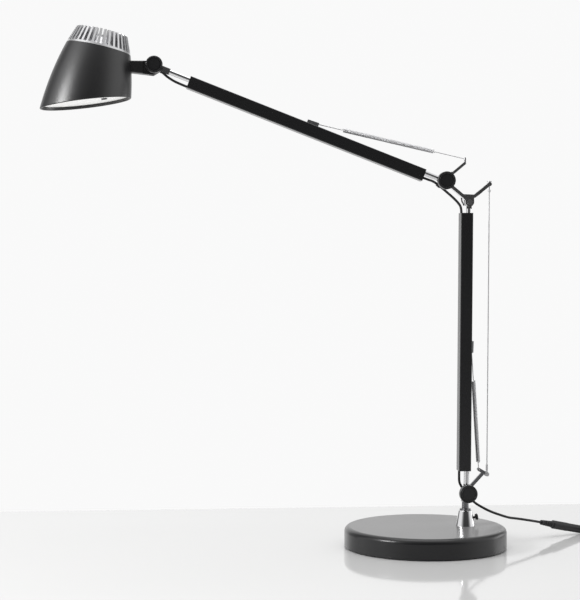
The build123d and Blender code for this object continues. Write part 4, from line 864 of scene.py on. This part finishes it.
board = Finish("led_board", (0.85, 0.86, 0.84), 0.4, centre=SHADE_TOP, tilt=SHADE_TILT)
track = board.effect(rings, Ignore=(1, 1, 0), Spacing=0.0034)
lacquer = board.effect(skin, Fineness=1500.0, Patches=300.0)
lines = math_node(board.tree, "GREATER_THAN", track.outputs["Height"], 0.62)
board.feed("Base Color", board.colours(lines, (0.84, 0.85, 0.83), (0.70, 0.72, 0.66)))
board.feed("Roughness", board.between(lacquer.outputs["Gloss change"], 0.3, 0.5))
board.bump(track.outputs["Height"], 0.00004, 0.4)

# %% [markdown]
# ### Give every solid its finish
# The record names a material slot for every solid. The finishes above are chosen by slot, and a
# few solids get a version that is centred or turned for them. The stem gets a darker copy of
# chrome, which is painted dark reflection.

# %% Assign finishes
by_slot = {
    "satin_black": paint_shade, "cast_iron": iron.material, "foam_pad": foam,
    "chrome": chrome_upright, "steel": steel_base, "brass_bush": bronze,
    "cable_rubber": jacket, "black_plastic": plastic, "pin_brass": pin_metal,
    "spring_steel": spring_wire, "bare_aluminium": aluminium.material, "board": board.material,
    "white_plastic": white.material, "diffuser": milk.material, "grey_plastic": switch_grey,
}
by_node = {
    "base_cover": paint_base, "lower_sleeve": paint_sleeve, "upper_sleeve": paint_sleeve,
    # The stem takes the darker copy of chrome, which is painted dark reflection.
    "stem": stem_chrome_painted_dark, "upper_rod": chrome_arm, "elbow_bracket": chrome_cast,
    "clevis_pin": steel_elbow, "elbow_bolt": steel_elbow, "head_bolt": steel_head, **knob_finish,
}


def give(piece, material):
    if not piece.material_slots:
        piece.data.materials.append(material)
    for slot in piece.material_slots:
        slot.material = material


for row in frame["record"]["subparts"]:
    node = row["node"]
    give(frame["nodes"][node], by_node.get(node, by_slot[row["material_slot"]]))
for piece in (post_drop, lead, adapter_cord, *loops):
    give(piece, jacket)
for piece in (lower_hook, lower_coil, upper_hook, upper_coil):
    give(piece, spring_wire)
for piece in fasteners:
    give(piece, button_steel)
for node, ring in knob_rings.items():
    give(ring, knob_finish[node])
give(rim_curve, paint_shade)
print("materials", len(bpy.data.materials))

# %% [markdown]
# ## Table
# The lamp stands on a white table in a white studio. The table is glossy near the lamp and plain
# further out, so that it looks the same from every side. Seen from below all of it is clear, so
# that the lamp's foot can be looked at.

# %% Table
TABLE_BACK = 0.36
TABLE_SIZE = 8.0
FADE_IN_FRONT = (-0.38, -0.95)
FADE_ASIDE = (0.75, 1.4)
bpy.ops.mesh.primitive_plane_add(size=TABLE_SIZE, location=(0, TABLE_BACK - TABLE_SIZE / 2, 0))
table = settle(bpy.context.active_object, "table_top")
top = Finish("table_white", (0.75, 0.75, 0.75), 0.06)
top.feed("IOR", 1.42)
cloudy = top.effect(skin, Fineness=60.0, Patches=1.5)
top.feed("Roughness", top.between(cloudy.outputs["Gloss change"], 0.05, 0.09))
top.feed("Base Color", top.colours(
    cloudy.outputs["Gloss change"], (0.744, 0.744, 0.738), (0.765, 0.765, 0.765)))

across = add_node(top.tree, "SeparateXYZ", {0: top.place})
towards_camera = ramp(top.tree, across.outputs["Y"], *FADE_IN_FRONT, interpolation="LINEAR")
aside = math_node(top.tree, "ABSOLUTE", across.outputs["X"])
to_the_side = ramp(top.tree, aside, *FADE_ASIDE, interpolation="LINEAR")
out_of_view = math_node(top.tree, "MAXIMUM", towards_camera, to_the_side)
who_looks = add_node(top.tree, "LightPath")
facing_side = add_node(top.tree, "NewGeometry")
pale = add_node(top.tree, "Emission", {"Color": (0.92, 0.92, 0.92, 1.0)})
shaded = add_node(top.tree, "BsdfDiffuse", {"Color": (0.30, 0.30, 0.30, 1.0)})
clear = add_node(top.tree, "BsdfTransparent")


def mixed(tree, factor, first, second):
    """The shader that is first at factor 0 and second at factor 1."""
    return add_node(tree, "MixShader", {0: factor, 1: first.outputs[0], 2: second.outputs[0]})


far = mixed(top.tree, who_looks.outputs["Is Camera Ray"], shaded, pale)
whole = mixed(top.tree, out_of_view, top.shader, far)
one_sided = mixed(top.tree, facing_side.outputs["Backfacing"], whole, clear)
put(top.tree, top.output.inputs["Surface"], one_sided.outputs[0])
give(table, top.material)
print("table back edge at", TABLE_BACK)

# %% [markdown]
# ## Surroundings
# The surroundings are white for the camera and for reflections, except on the camera's own side,
# which is darker. That dark side is what draws the black band down the middle of every chromed
# rod. Two dark flags behind the lamp, left and right, draw the thin dark lines along the rods'
# edges. What lights matt surfaces is a weaker, even white.

# %% Surroundings
LIGHTING, BACKDROP, FLAG_DEPTH = 0.62, 0.95, 0.8
world = bpy.data.worlds.new("studio")
scene.world = world
world.use_nodes = True
sky = world.node_tree
sky.nodes.clear()
ray = add_node(sky, "LightPath").outputs
direction = add_node(sky, "TexCoord").outputs["Generated"]
looking = add_node(sky, "SeparateXYZ", {0: direction}).outputs
away = ramp(sky, looking["Y"], -0.90, -0.30, 0.05, 0.95)
sideways = math_node(sky, "ABSOLUTE", looking["X"])
flags = math_node(sky, "MULTIPLY", ramp(sky, sideways, 0.46, 0.58), ramp(sky, sideways, 0.93, 0.84))
flags = math_node(sky, "MULTIPLY", flags, ramp(sky, looking["Y"], 0.2, 0.35))
unflagged = math_node(sky, "MULTIPLY_ADD", flags, -FLAG_DEPTH, 1.0)


def background(strength):
    return add_node(sky, "Background", {"Color": (1.0, 1.0, 1.0, 1.0), "Strength": strength})


plain, seen = background(LIGHTING), background(BACKDROP)
mirrored = background(math_node(sky, "MULTIPLY", away, unflagged))
shiny = math_node(sky, "MAXIMUM", ray["Is Glossy Ray"], ray["Is Transmission Ray"])
studio = mixed(sky, ray["Is Camera Ray"], mixed(sky, shiny, plain, mirrored), seen)
add_node(sky, "OutputWorld", {"Surface": studio.outputs[0]})
print("surroundings", LIGHTING, BACKDROP)

# %% [markdown]
# ## Lamps
# One soft box high on the left draws the long light down the shade, a large one overhead gives the
# base its sheen, and a weak one behind on the right lifts the far edges.

# %% Lamps
def soft_box(name, place, target, size, power):
    light = bpy.data.lights.new(name, "AREA")
    light.shape = "RECTANGLE"
    light.size, light.size_y = size
    light.energy = power
    box = bpy.data.objects.new(name, light)
    box.location = place
    box.rotation_euler = (Vector(target) - Vector(place)).to_track_quat("-Z", "Y").to_euler()
    scene.collection.objects.link(box)


soft_box("left_box", (-2.2, -0.9, 1.2), (-0.4, 0, 0.6), (0.75, 0.75), 33.0)
soft_box("top_box", (-0.2, 0.1, 2.6), (-0.2, 0, 0.0), (2.2, 1.6), 20.0)
soft_box("right_box", (2.1, 1.1, 0.3), (-0.2, 0, 0.4), (1.2, 1.0), 6.0)
scene.view_settings.view_transform = "Standard"
print("lamps", len(bpy.data.lights))
